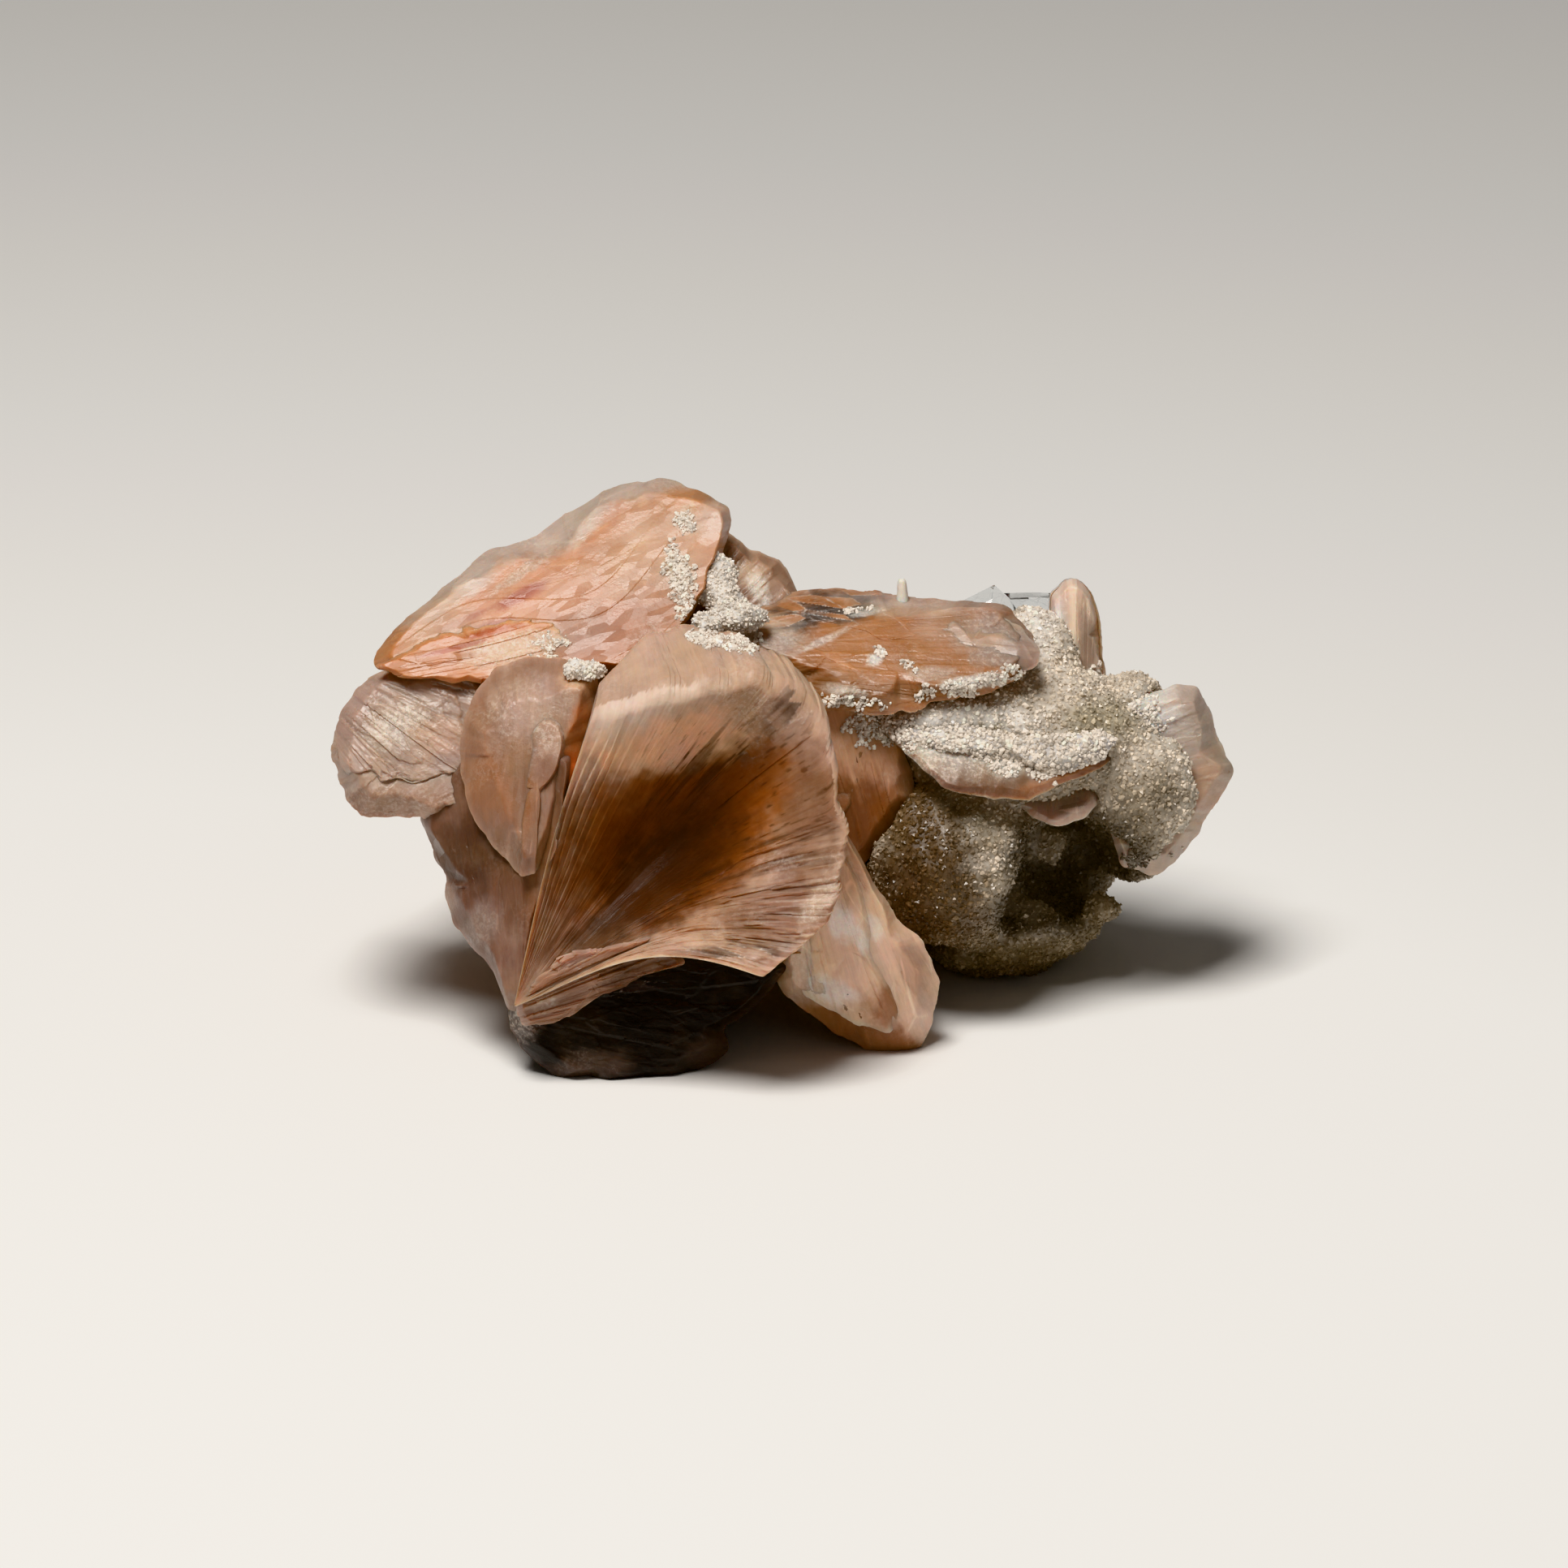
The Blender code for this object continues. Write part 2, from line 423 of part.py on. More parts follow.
def baked(obj, name, collection):
    """A new object from obj as its modifiers leave it. obj goes to the helpers."""
    bpy.context.view_layer.update()
    graph = bpy.context.evaluated_depsgraph_get()
    mesh = bpy.data.meshes.new_from_object(obj.evaluated_get(graph))
    result = bpy.data.objects.new(name, mesh)
    result.matrix_world = obj.matrix_world
    collection.objects.link(result)
    return result


def boolean(obj, operation, other):
    modifier = obj.modifiers.new(operation.lower(), "BOOLEAN")
    modifier.operation = operation
    if isinstance(other, bpy.types.Collection):
        modifier.operand_type = "COLLECTION"
        modifier.collection = other
    else:
        modifier.object = other
    # A wall grown outwards folds into itself in the crevices.
    modifier.use_self = operation == "DIFFERENCE"
    return modifier


def keep_largest_body(obj):
    """Drops the crumbs that a cut leaves loose, and the faces that shrank to nothing."""
    bm = bmesh.new()
    bm.from_mesh(obj.data)
    bmesh.ops.dissolve_degenerate(bm, dist=1e-7, edges=bm.edges)
    unseen = set(bm.faces)
    bodies = []
    while unseen:
        start = unseen.pop()
        body, edge_of = [start], [start]
        while edge_of:
            face = edge_of.pop()
            for edge in face.edges:
                for neighbour in edge.link_faces:
                    if neighbour in unseen:
                        unseen.discard(neighbour)
                        body.append(neighbour)
                        edge_of.append(neighbour)
        bodies.append(body)
    bodies.sort(key=lambda body: sum(face.calc_area() for face in body))
    for body in bodies[:-1]:
        bmesh.ops.delete(bm, geom=body, context="FACES")
    loose = [v for v in bm.verts if not v.link_faces]
    bmesh.ops.delete(bm, geom=loose, context="VERTS")
    bmesh.ops.triangulate(bm, faces=bm.faces)
    bm.to_mesh(obj.data)
    bm.free()


def flatten_feet(obj):
    """Cuts off flat what lies under the resting plane, which leans with the drawing."""
    turn = math.radians(STANDING_TURN_DEG)
    up = Vector((0.0, math.sin(turn), math.cos(turn)))
    bm = bmesh.new()
    bm.from_mesh(obj.data)
    cut = bmesh.ops.bisect_plane(bm, geom=[*bm.verts, *bm.edges, *bm.faces], dist=1e-8,
                                 plane_co=up * FOOT_WEAR * MM, plane_no=up, clear_inner=True)
    edges = [item for item in cut["geom_cut"] if isinstance(item, bmesh.types.BMEdge)]
    bmesh.ops.holes_fill(bm, edges=edges)
    bmesh.ops.triangulate(bm, faces=bm.faces)
    bmesh.ops.recalc_face_normals(bm, faces=bm.faces)
    bm.to_mesh(obj.data)
    bm.free()


def finished(obj, material, stand):
    """Gives a node its mineral, flat facets and place on the stand."""
    obj.data.materials.clear()
    obj.data.materials.append(material)
    obj.data.shade_flat()
    obj.parent = stand
    return obj


def helper_wall(obj, helpers):
    """A copy of obj grown by the gap on all sides, to cut its neighbours with."""
    wall = baked(obj, obj.name + "_cutter", helpers)
    swell = wall.modifiers.new("swell", "DISPLACE")
    swell.strength = GAP * 1.35 * MM
    swell.mid_level = 0.0
    return wall


def as_helper(obj):
    obj.hide_render = True
    obj.display_type = "WIRE"
    return obj


def build_stilbite(specimen, helpers):
    """All the sheaves that overlap, fused into one solid."""
    union = bpy.data.collections.new("stilbite_to_fuse")
    helpers.children.link(union)
    crystals = {
        "upper_sheaf": UPPER_SHEAF, "upper_ledge": UPPER_LEDGE, "rear_point": REAR_POINT,
        "left_sheaf": LEFT_SHEAF, "left_ledge": LEFT_LEDGE, "petal": PETAL, "petal_lobe": PETAL_LOBE,
        "left_wing": LEFT_WING, "lower_sheaf": LOWER_SHEAF, "lower_ledge": LOWER_LEDGE,
        "standing_sheaf": STANDING_SHEAF, "standing_ridge": STANDING_RIDGE,
        "middle_block": MIDDLE_BLOCK, "bow_sheaf": BOW_SHEAF, "bow_end": BOW_END,
    }
    for name, crystal in crystals.items():
        as_helper(add_object(name, crystal_mesh(crystal), union))
    blade_hosts = {"upper": UPPER_SHEAF, "wing": LEFT_WING, "lower": LOWER_SHEAF, "standing": STANDING_SHEAF,
                   "left": LEFT_SHEAF, "bow_right": BOW_SHEAF, "bow_left": BOW_SHEAF}
    for host, blades in BLADES.items():
        for number, blade in enumerate(blades):
            mesh = blade_mesh(blade_hosts[host], *blade)
            as_helper(add_object(f"blade_{host}_{number}", mesh, union))
    as_helper(add_object("hollow_fan", fan_mesh(), union))
    as_helper(add_object("spur", spur_mesh(), union))
    for number, sheaf in enumerate(REAR_SHEAVES):
        crystal = rear_crystal(sheaf["size"])
        meshes = [crystal_mesh(crystal)] + [blade_mesh(crystal, *blade) for blade in REAR_BLADES]
        for piece, mesh in enumerate(meshes):
            obj = as_helper(add_object(f"rear_sheaf_{number}_{piece}", mesh, union))
            obj.location, obj.rotation_euler = placed(sheaf["at"], sheaf["heading"], sheaf["facing"])
    heart = as_helper(add_object("heart", crystal_mesh(HEART), helpers))
    boolean(heart, "UNION", union)
    fused = baked(heart, "stilbite_sheaves", specimen)
    flatten_feet(fused)
    keep_largest_body(fused)
    return fused


def build_crystal(name, crystal, cutters, specimen, helpers):
    """One crystal that stands alone, trimmed where its neighbours pass."""
    raw = as_helper(add_object(name + "_uncut", crystal_mesh(crystal), helpers))
    for cutter in cutters:
        boolean(raw, "DIFFERENCE", cutter)
    obj = baked(raw, name, specimen)
    keep_largest_body(obj)
    return obj


def add_grains(obj, chance, generator):
    """Raises a small quartz point on most faces of the crust."""
    bm = bmesh.new()
    bm.from_mesh(obj.data)
    bmesh.ops.triangulate(bm, faces=bm.faces)
    for face in list(bm.faces):
        if generator.random() > chance:
            continue
        height = generator.uniform(*GRAIN_HEIGHT) * MM
        bmesh.ops.poke(bm, faces=[face], offset=height)
    bm.to_mesh(obj.data)
    bm.free()


def build_crust(name, lumps, hollows, faces, cutters, specimen, helpers, generator, voxel):
    """Lumps run together, hollowed, covered with points, and trimmed round the crystals that they hold."""
    raw = as_helper(add_object(name + "_lumps", lumps_mesh(lumps), helpers))
    remesh = raw.modifiers.new("run_together", "REMESH")
    remesh.mode = "VOXEL"
    remesh.voxel_size = voxel * MM
    if hollows:
        hollow_lumps = as_helper(add_object(name + "_hollows", lumps_mesh(hollows, 2), helpers))
        hollow_one = hollow_lumps.modifiers.new("run_together", "REMESH")
        hollow_one.mode = "VOXEL"
        hollow_one.voxel_size = voxel * MM
        boolean(raw, "DIFFERENCE", hollow_lumps)
        buds = as_helper(add_object(name + "_buds", lumps_mesh(CAVERN_BUDS, 2), helpers))
        one = buds.modifiers.new("run_together", "REMESH")
        one.mode = "VOXEL"
        one.voxel_size = 0.5 * MM
        boolean(raw, "UNION", buds)
        again = raw.modifiers.new("even_out", "REMESH")
        again.mode = "VOXEL"
        again.voxel_size = voxel * 0.7 * MM
    smooth = raw.modifiers.new("soften", "SMOOTH")
    smooth.iterations = 2
    decimate = raw.modifiers.new("coarsen", "DECIMATE")
    whole = baked(raw, name + "_whole", helpers)
    decimate.ratio = min(1.0, faces / sum(len(p.vertices) - 2 for p in whole.data.polygons))
    bpy.data.objects.remove(whole)
    grained = as_helper(baked(raw, name + "_grained", helpers))
    add_grains(grained, 0.72, generator)
    for cutter in cutters:
        boolean(grained, "DIFFERENCE", cutter)
    obj = baked(grained, name, specimen)
    flatten_feet(obj)
    keep_largest_body(obj)
    return obj


def stand_up(stand, objects):
    """Turns the drawing up onto its feet, with the middle of its box over the origin."""
    stand.rotation_euler = (math.radians(STANDING_TURN_DEG), 0.0, 0.0)
    bpy.context.view_layer.update()
    points = [obj.matrix_world @ v.co for obj in objects for v in obj.data.vertices]
    low = [min(p[i] for p in points) for i in range(3)]
    high = [max(p[i] for p in points) for i in range(3)]
    stand.location = (-(low[0] + high[0]) / 2, -(low[1] + high[1]) / 2, -low[2])


def main():
    clear_scene()
    generator = random.Random(SEED)
    specimen = new_collection("stilbite_cluster")
    helpers = new_collection("helpers")
    stand = bpy.data.objects.new("standing_specimen", None)
    specimen.objects.link(stand)

    peach = mineral("peach_stilbite", PEACH, 0.38)
    pale = mineral("pale_stilbite", PALE_PEACH, 0.38)
    grey_quartz = mineral("grey_quartz", QUARTZ_GREY, 0.45)
    white_quartz = mineral("white_quartz", QUARTZ_WHITE, 0.45)
    clear = mineral("clear_apophyllite", CLEAR, 0.08, 0.35)

    stilbite = build_stilbite(specimen, helpers)
    walls = [as_helper(helper_wall(stilbite, helpers))]
    nodes = [finished(stilbite, peach, stand)]
    singles = [
        ("right_sheaf", RIGHT_SHEAF, pale), ("upright_blade", UPRIGHT_BLADE, pale),
        ("ledge_blade", LEDGE_BLADE, pale), ("shelf_blade", SHELF_BLADE, pale),
        ("clear_crystal", CLEAR_POINT, clear), ("clear_block", CLEAR_BLOCK, clear),
    ]
    for name, crystal, material in singles:
        obj = build_crystal(name, crystal, walls, specimen, helpers)
        walls.append(as_helper(helper_wall(obj, helpers)))
        nodes.append(finished(obj, material, stand))
    crust = build_crust("quartz_crust", CRUST_LUMPS + CAVERN_BUDS[-1:], CAVERN_HOLLOWS, CRUST_FACES, walls,
                        specimen, helpers, generator, CRUST_VOXEL)
    nodes.append(finished(crust, grey_quartz, stand))
    for name, lumps in (("upper_quartz_patch", UPPER_PATCH_LUMPS), ("petal_quartz_patch", PETAL_PATCH_LUMPS)):
        patch = build_crust(name, lumps, [], PATCH_FACES, walls, specimen, helpers, generator, 0.5)
        nodes.append(finished(patch, white_quartz, stand))
    stand_up(stand, nodes)
    for node in nodes:
        print(node.name, len(node.data.polygons))


main()
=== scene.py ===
"""The finished look of the stilbite cluster: sheaves, sugary quartz, clear crystals and a stage.

Shapes are drawn face up in millimetres, x across, y up the facing side and z towards the viewer, and
to_row turns them onto the specimen's feet.
"""

import math

import bmesh
import bpy
import numpy as np
from mathutils import Matrix, Vector


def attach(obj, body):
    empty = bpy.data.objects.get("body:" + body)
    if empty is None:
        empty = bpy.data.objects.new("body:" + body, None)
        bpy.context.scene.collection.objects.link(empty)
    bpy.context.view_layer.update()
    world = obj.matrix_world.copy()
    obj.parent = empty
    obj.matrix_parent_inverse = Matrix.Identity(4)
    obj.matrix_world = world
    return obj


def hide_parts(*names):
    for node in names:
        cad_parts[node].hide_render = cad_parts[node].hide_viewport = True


bl_info = {
    "name": "Stilbite cluster",
    "version": (1, 0, 0),
    "blender": (4, 5, 0),
    "location": "3D View > Sidebar > Stilbite",
    "description": "Builds the sheaves, the quartz crust and the stage of a stilbite cluster",
    "category": "Object",
}

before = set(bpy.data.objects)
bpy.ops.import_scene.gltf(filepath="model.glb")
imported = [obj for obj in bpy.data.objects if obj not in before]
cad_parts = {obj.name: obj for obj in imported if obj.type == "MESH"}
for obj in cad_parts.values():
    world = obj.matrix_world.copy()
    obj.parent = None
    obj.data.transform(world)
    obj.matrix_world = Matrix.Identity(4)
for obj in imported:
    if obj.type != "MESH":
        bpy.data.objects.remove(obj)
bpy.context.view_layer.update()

MM = 0.001
STANDING_TURN = math.radians(70.0)
STAND_AT = (-0.05, -24.7481, -0.9)
PHOTO_MIDDLE = (0.0, 30.3)
PHOTO_WIDTH = 154.56
VIEW_DISTANCE = 1600.0
STONE_SHADE = 0.86
SHARP_EDGE = math.radians(42.0)
MERGE_REACH = 2e-6
CAD_MERGE_REACH = 1e-6
SIDE_ROWS = 16
BACK_ROWS = 8
REAR_SHARE = 0.62
FAN_RAYS, FAN_STATIONS, FAN_RIM_ROWS, FAN_BACK_STATIONS = 360, 200, 14, 36
BEVEL_SHARPNESS = 20
LIP_ROWS = 26
LIP_ROUNDS = 70
NO_LIGHT_OR_TONE = (1.0, 1.0, 1.0)
QUARTZ_IOR = 1.544
STILBITE_IOR = 1.50
APOPHYLLITE_IOR = 1.535
# The lights: name, place, width, colour, and whether it shows in reflections
LIGHTS = (
    ("key", (-0.12, -0.20, 0.60), 0.26, (1.0, 0.965, 0.92), True),
    ("fill", (0.25, -0.80, 0.35), 0.60, (1.0, 0.98, 0.95), False),
)
LIGHT_AIM = (0.0, 0.0, 0.03)
ROOM_COLOUR = (1.0, 0.985, 0.96, 1)
ROOM_STRENGTH = 0.075
FLOOR_ROUGHNESS = 0.85
SENSOR_WIDTH = 36.0
FAR_CLIP = 100.0

# Colours of the minerals and of what stains them, from 0 to 255 as a screen shows them. Some are painted
# light and shade instead: the shade colours darken creases, undersides and the grotto, and one light colour
# brightens the top of the fan's bowl.
TINTS = {
    "peach": (231, 170, 129),
    "pale_peach": (232, 196, 166),
    "apricot": (210, 160, 129),
    "deep_peach": (202, 137, 91),
    "silver": (206, 184, 168),
    "pearl": (192, 166, 146),
    "rose": (166, 130, 110),
    "brown_rose": (142, 106, 86),
    "rose_grey": (165, 132, 110),
    "grey_rose": (186, 156, 136),
    "tan": (165, 118, 86),
    "amber": (158, 90, 40),
    "dark_amber": (116, 58, 20),
    # partly the stone's own brown, partly painted shade in the middle of the fan's bowl
    "umber": (66, 36, 20),
    "rust": (190, 92, 56),
    "slate": (104, 88, 78),
    "ember": (226, 124, 76),
    "frost": (238, 232, 234),
    "cream": (234, 210, 194),
    # painted light: the lit top of the fan's bowl
    "honey": (255, 200, 166),
    "white": (250, 239, 226),
    "shade": (80, 58, 44),
    # painted shade: the dark underside of the lower sheaf
    "underside_shade": (46, 34, 26),
    "moss": (176, 164, 132),
    "quartz": (238, 224, 206),
    "dim_quartz": (158, 142, 118),
    "brown_quartz": (118, 96, 70),
    # painted shade inside the grotto of the crust
    "grotto": (110, 100, 86),
}
# How frosted the stone is where it has one of these stains
FROSTED = {"white": 1.0, "silver": 0.45, "grey_rose": 0.2}

# Each sheaf has the outline, level, lean, rise, back, root and crown of its solid. grid is how many points
# go round it and how many rows its face has. blades are layers of blades as width in degrees, height and
# how far their torn ends fall short. Stains are tint, middle, half sizes, turn in degrees and strength.
# Each sheaf's tone factor scales all its colours, partly as the stone's own tone and partly as painted light
# and shade, lighter or darker for how light falls on that piece. Stains named shade are painted shade.
UPPER_SHEAF = dict(
    outline=[(-40.8, 42.6), (-38.9, 45.5), (-34.5, 49.2), (-29.3, 53.5), (-25.8, 54.3), (-21.3, 57.4),
             (-16.8, 60.1), (-11.7, 60.8), (-8.3, 59.4), (-5.5, 57.8), (-5.0, 56.3), (-5.9, 54.2),
             (-7.0, 50.5), (-9.5, 46.5), (-15.5, 42.0), (-23.0, 40.0), (-31.0, 40.4), (-40.4, 41.6)],
    level=-11.0, lean=(0.10, -0.55), rise=3.2, back=11.0, root=(-88.0, 19.0), crown=0.80,
    grid=(420, 190), blades=[(6.0, 0.03, 0.1)], open=(-35.0, 0.9), light_and_tone=(0.65, 0.555, 0.46), flakes=0.10,
    tint="peach", seed=3,
    stains=[("white", (-10.2, 50.6), (1.2, 3.0), 10, 0.9),
            ("frost", (-31, 51.6), (9, 2.2), 40, 0.9), ("frost", (-21.8, 56.4), (7, 2.6), 32, 0.95),
            ("frost", (-14.0, 60.2), (7, 1.8), 12, 0.9), ("rust", (-26.0, 49.0), (2.9, 0.8), 28, 0.85),
            ("rust", (-28.5, 46.0), (2.6, 0.7), 16, 0.8), ("rust", (-32.0, 46.4), (3.6, 0.4), 24, 0.7),
            ("rust", (-30.5, 44.3), (5.0, 0.35), 8, 0.7), ("white", (-29.5, 43.4), (5.5, 1.1), 9, 0.6),
            ("white", (-23.8, 42.6), (1.8, 1.0), 30, 0.5), ("white", (-9.6, 56.8), (0.9, 1.4), 0, 0.9),
            ("pale_peach", (-12.0, 54.5), (8, 5), 30, 0.6), ("frost", (-6.6, 57.2), (2.0, 2.6), -30, 0.45),
            ("deep_peach", (-17.0, 45.0), (9, 3.6), 25, 0.85),
            ("apricot", (-21.0, 44.8), (5.0, 2.4), 15, 0.7), ("amber", (-20.6, 45.0), (5.6, 2.4), 15, 0.3),
            ("pale_peach", (-34.0, 46.0), (4, 3), 40, 0.6), ("deep_peach", (-33.0, 43.5), (5, 1.2), 14, 0.5),
            ("silver", (-25.0, 52.0), (5, 0.6), 36, 0.6)])
UPPER_LEDGE = dict(
    outline=[(-40.6, 41.9), (-36.0, 44.5), (-29.0, 46.6), (-23.5, 46.8), (-19.5, 44.0), (-21.5, 41.0),
             (-29.0, 40.0), (-38.0, 41.0)],
    level=-5.0, lean=(0.04, -0.45), rise=1.0, back=6.0, root=(-80.0, 33.0), crown=0.86,
    grid=(220, 80), blades=[(4.0, 0.10, 0.3), (1.2, 0.04, 0.3)], wear=0.7, open=(-70.0, 0.6),
    light_and_tone=(0.76, 0.66, 0.56), flakes=0.16, tint="peach", seed=5,
    stains=[("white", (-27.0, 43.6), (6, 1.6), 10, 0.65), ("rust", (-29.0, 45.3), (3.2, 0.5), 14, 0.8),
            ("rust", (-33.0, 43.6), (4.0, 0.3), 14, 0.75), ("deep_peach", (-34, 42.4), (5, 0.8), 8, 0.6),
            ("pale_peach", (-22, 44), (3, 2), 0, 0.6)])
REAR_POINT = dict(
    outline=[(-7.0, 56.4), (-3.5, 53.8), (-0.5, 52.8), (0.6, 51.0), (1.7, 48.8), (2.4, 45.0), (-3.0, 43.5),
             (-8.0, 46.0), (-9.0, 52.0)],
    level=-16.0, lean=(-0.1, -0.35), rise=1.8, back=9.0, root=(-24.0, 30.0), crown=0.78,
    grid=(180, 60), blades=[(5.0, 0.08, 0.2), (1.4, 0.03, 0.3)], open=(-90.0, 0.6), light_and_tone=(1.05, 1.12, 1.15),
    flakes=0.14, tint="rose", seed=8,
    stains=[("pale_peach", (-3.6, 51.0), (2.0, 1.6), 0, 0.6), ("white", (-2.4, 49.6), (1.0, 2.0), 20, 0.5)])
LEFT_SHEAF = dict(
    outline=[(-40.4, 41.3), (-42.6, 39.4), (-43.6, 38.2), (-44.5, 35.6), (-44.8, 33.4), (-43.9, 30.8),
             (-43.4, 29.0), (-41.7, 27.0), (-36.1, 26.7), (-32.5, 27.0), (-27.0, 29.0), (-24.0, 37.0),
             (-28.0, 42.6), (-35.0, 42.4)],
    level=-7.5, lean=(0.05, -0.30), rise=3.4, back=13.0, root=(-14.0, 52.0), crown=0.78,
    grid=(260, 110), blades=[(8.0, 0.06, 0.2)], wear=0.45, open=(0.0, 0.6), light_and_tone=(0.76, 0.68, 0.64),
    flakes=0.25,
    tint="silver", seed=13,
    stains=[("grey_rose", (-38.0, 28.4), (8, 1.9), 2, 0.9), ("peach", (-34.0, 38.0), (5, 3), 20, 0.5),
            ("amber", (-31.6, 31.5), (1.2, 1.8), 0, 0.5), ("white", (-38.6, 37.0), (3.4, 2.0), 30, 0.5)])
LEFT_LEDGE = dict(
    outline=[(-40.6, 41.2), (-42.7, 39.2), (-44.0, 37.4), (-44.4, 34.8), (-43.8, 31.8), (-42.8, 30.8),
             (-41.4, 31.1), (-40.0, 30.1), (-38.4, 30.9), (-36.5, 30.4), (-33.5, 31.0), (-30.5, 31.5),
             (-29.0, 34.5), (-28.5, 38.3), (-30.0, 42.0), (-36.0, 42.0)],
    level=-5.2, lean=(0.07, -0.28), rise=1.5, back=5.0, root=(-54.0, 47.0), crown=0.78,
    grid=(240, 90), blades=[(7.0, 0.14, 0.2), (2.6, 0.06, 0.3)], wear=0.3, open=(-80.0, 0.9),
    light_and_tone=(0.74, 0.665, 0.65), flakes=0.6,
    tint="silver", seed=17,
    stains=[("white", (-38.0, 36.0), (3.6, 2.2), 35, 0.6), ("pale_peach", (-34.0, 35.0), (3, 2), 0, 0.6)])
PETAL = dict(
    outline=[(-30.1, 40.0), (-28.1, 42.0), (-24.9, 43.0), (-21.3, 42.6), (-18.4, 41.6), (-18.3, 38.0),
             (-19.5, 33.2), (-21.0, 28.8), (-22.6, 24.5), (-24.3, 21.2), (-26.2, 21.6), (-28.4, 24.0),
             (-30.8, 27.4), (-32.1, 32.2), (-31.7, 36.8)],
    level=0.2, lean=(0.18, -0.22), rise=2.9, back=10.0, root=(-27.0, -14.0), crown=0.62,
    grid=(260, 110), blades=[(4.0, 0.02, 0.05)], light_and_tone=(0.88, 0.81, 0.78), flakes=0.08,
    tint="rose_grey", seed=21,
    stains=[("ember", (-20.7, 31.6), (1.4, 2.8), -14, 0.95), ("deep_peach", (-20.0, 35.6), (1.5, 3), -8, 0.6),
            ("silver", (-25.4, 38.4), (4.6, 3.4), 10, 0.5), ("deep_peach", (-29.0, 30.0), (2.6, 4), 10, 0.3),
            ("pale_peach", (-20.0, 40.6), (2.2, 1.6), 0, 0.6)])
PETAL_LOBE = dict(
    outline=[(-25.8, 36.2), (-23.6, 37.6), (-21.9, 37.0), (-21.3, 35.0), (-22.0, 31.6), (-23.4, 28.4),
             (-24.2, 24.6), (-24.4, 21.4), (-26.0, 21.3), (-26.6, 25.0), (-26.4, 31.0)],
    level=2.9, lean=(0.36, -0.22), rise=1.5, back=4.0, root=(-26.0, 0.0), crown=0.62,
    grid=(200, 70), blades=[], open=(90.0, 0.3), light_and_tone=(0.84, 0.76, 0.74), flakes=0.02, tint="rose_grey",
    seed=23,
    stains=[("silver", (-23.0, 35.0), (1.7, 2.4), 0, 0.5), ("deep_peach", (-25.4, 28.0), (1.0, 4), 0, 0.35)])
LEFT_WING = dict(
    outline=[(-36.1, 27.0), (-34.9, 24.0), (-33.6, 21.2), (-33.5, 19.6), (-32.7, 17.0), (-30.9, 14.4),
             (-29.0, 12.2), (-27.8, 9.6), (-27.3, 8.2), (-25.6, 7.6), (-24.6, 12.4), (-23.6, 19.0),
             (-21.6, 27.0), (-21.0, 33.0), (-25.0, 36.0), (-33.0, 33.0)],
    level=-1.6, lean=(0.62, -0.06), rise=2.2, back=12.0, root=(-25.6, -8.0), crown=0.80,
    grid=(220, 80), blades=[(4.0, 0.05, 0.15), (1.3, 0.03, 0.3)], open=(30.0, 0.8), light_and_tone=(0.84, 0.87, 0.94),
    flakes=0.3,
    tint="brown_rose", seed=29,
    stains=[
        # The shade stain is painted shade on the wing's upper part.
        ("shade", (-31.0, 24.0), (4.4, 4.6), 20, 0.6), ("silver", (-30.0, 16.4), (2.6, 2.2), 50, 0.35),
        ("rose", (-27.0, 12.0), (1.6, 5.0), 10, 0.5), ("tan", (-24.0, 22.0), (1.4, 7), -8, 0.6),
        ("grey_rose", (-33.4, 19.6), (0.8, 3), 20, 0.6)])
# The lower sheaf is painted in shade: its dark tint and low tone stand for the shade on its underside, and
# the silver stain at its left and the pearl stains low down are painted light, a lit facet and glints.
LOWER_SHEAF = dict(
    outline=[(-27.2, 8.6), (-26.9, 6.0), (-25.4, 3.6), (-22.1, 1.2), (-19.7, 1.3), (-18.0, 0.2),
             (-16.7, 0.0), (-10.9, 0.8), (-6.9, 2.8), (-5.4, 4.3), (-5.9, 6.0), (-2.6, 8.6), (0.6, 12.4),
             (-3.0, 14.2), (-10.0, 14.4), (-16.0, 13.2), (-22.0, 11.4)],
    level=-1.9, lean=(-0.10, 0.10), rise=2.2, back=20.0, root=(-36.0, 10.0), crown=0.80,
    grid=(240, 90), blades=[(8.0, 0.06, 0.2)], open=(90.0, 0.9), light_and_tone=(0.24, 0.24, 0.27), flakes=0.45,
    tint="underside_shade", seed=31,
    stains=[("silver", (-25.6, 7.2), (2.0, 3.0), -30, 0.95), ("pearl", (-19.0, 2.6), (4.6, 1.6), 8, 0.75),
        ("pearl", (-7.6, 4.0), (2.4, 1.6), 30, 0.5), ("slate", (-15.4, 10.4), (4, 1.0), 10, 0.9)])
LOWER_LEDGE = dict(
    outline=[(-26.4, 9.0), (-25.6, 6.4), (-22.4, 6.8), (-18.0, 9.0), (-13.5, 11.6), (-9.6, 12.6),
             (-13.0, 15.4), (-22.0, 13.4)],
    level=3.0, lean=(0.0, 0.30), rise=1.3, back=5.0, root=(-34.0, 5.0), crown=0.82,
    grid=(220, 80), blades=[(4.0, 0.12, 0.3), (1.4, 0.06, 0.4)], wear=0.6, open=(90.0, 0.7),
    light_and_tone=(0.98, 0.98, 1.02), flakes=0.4, tint="rose", seed=37,
    # The shade stain is painted shade over the ledge's right part.
    stains=[("shade", (-14.0, 11.0), (5, 3), 30, 0.7), ("silver", (-23.6, 8.8), (2.0, 1.0), 20, 0.4)])
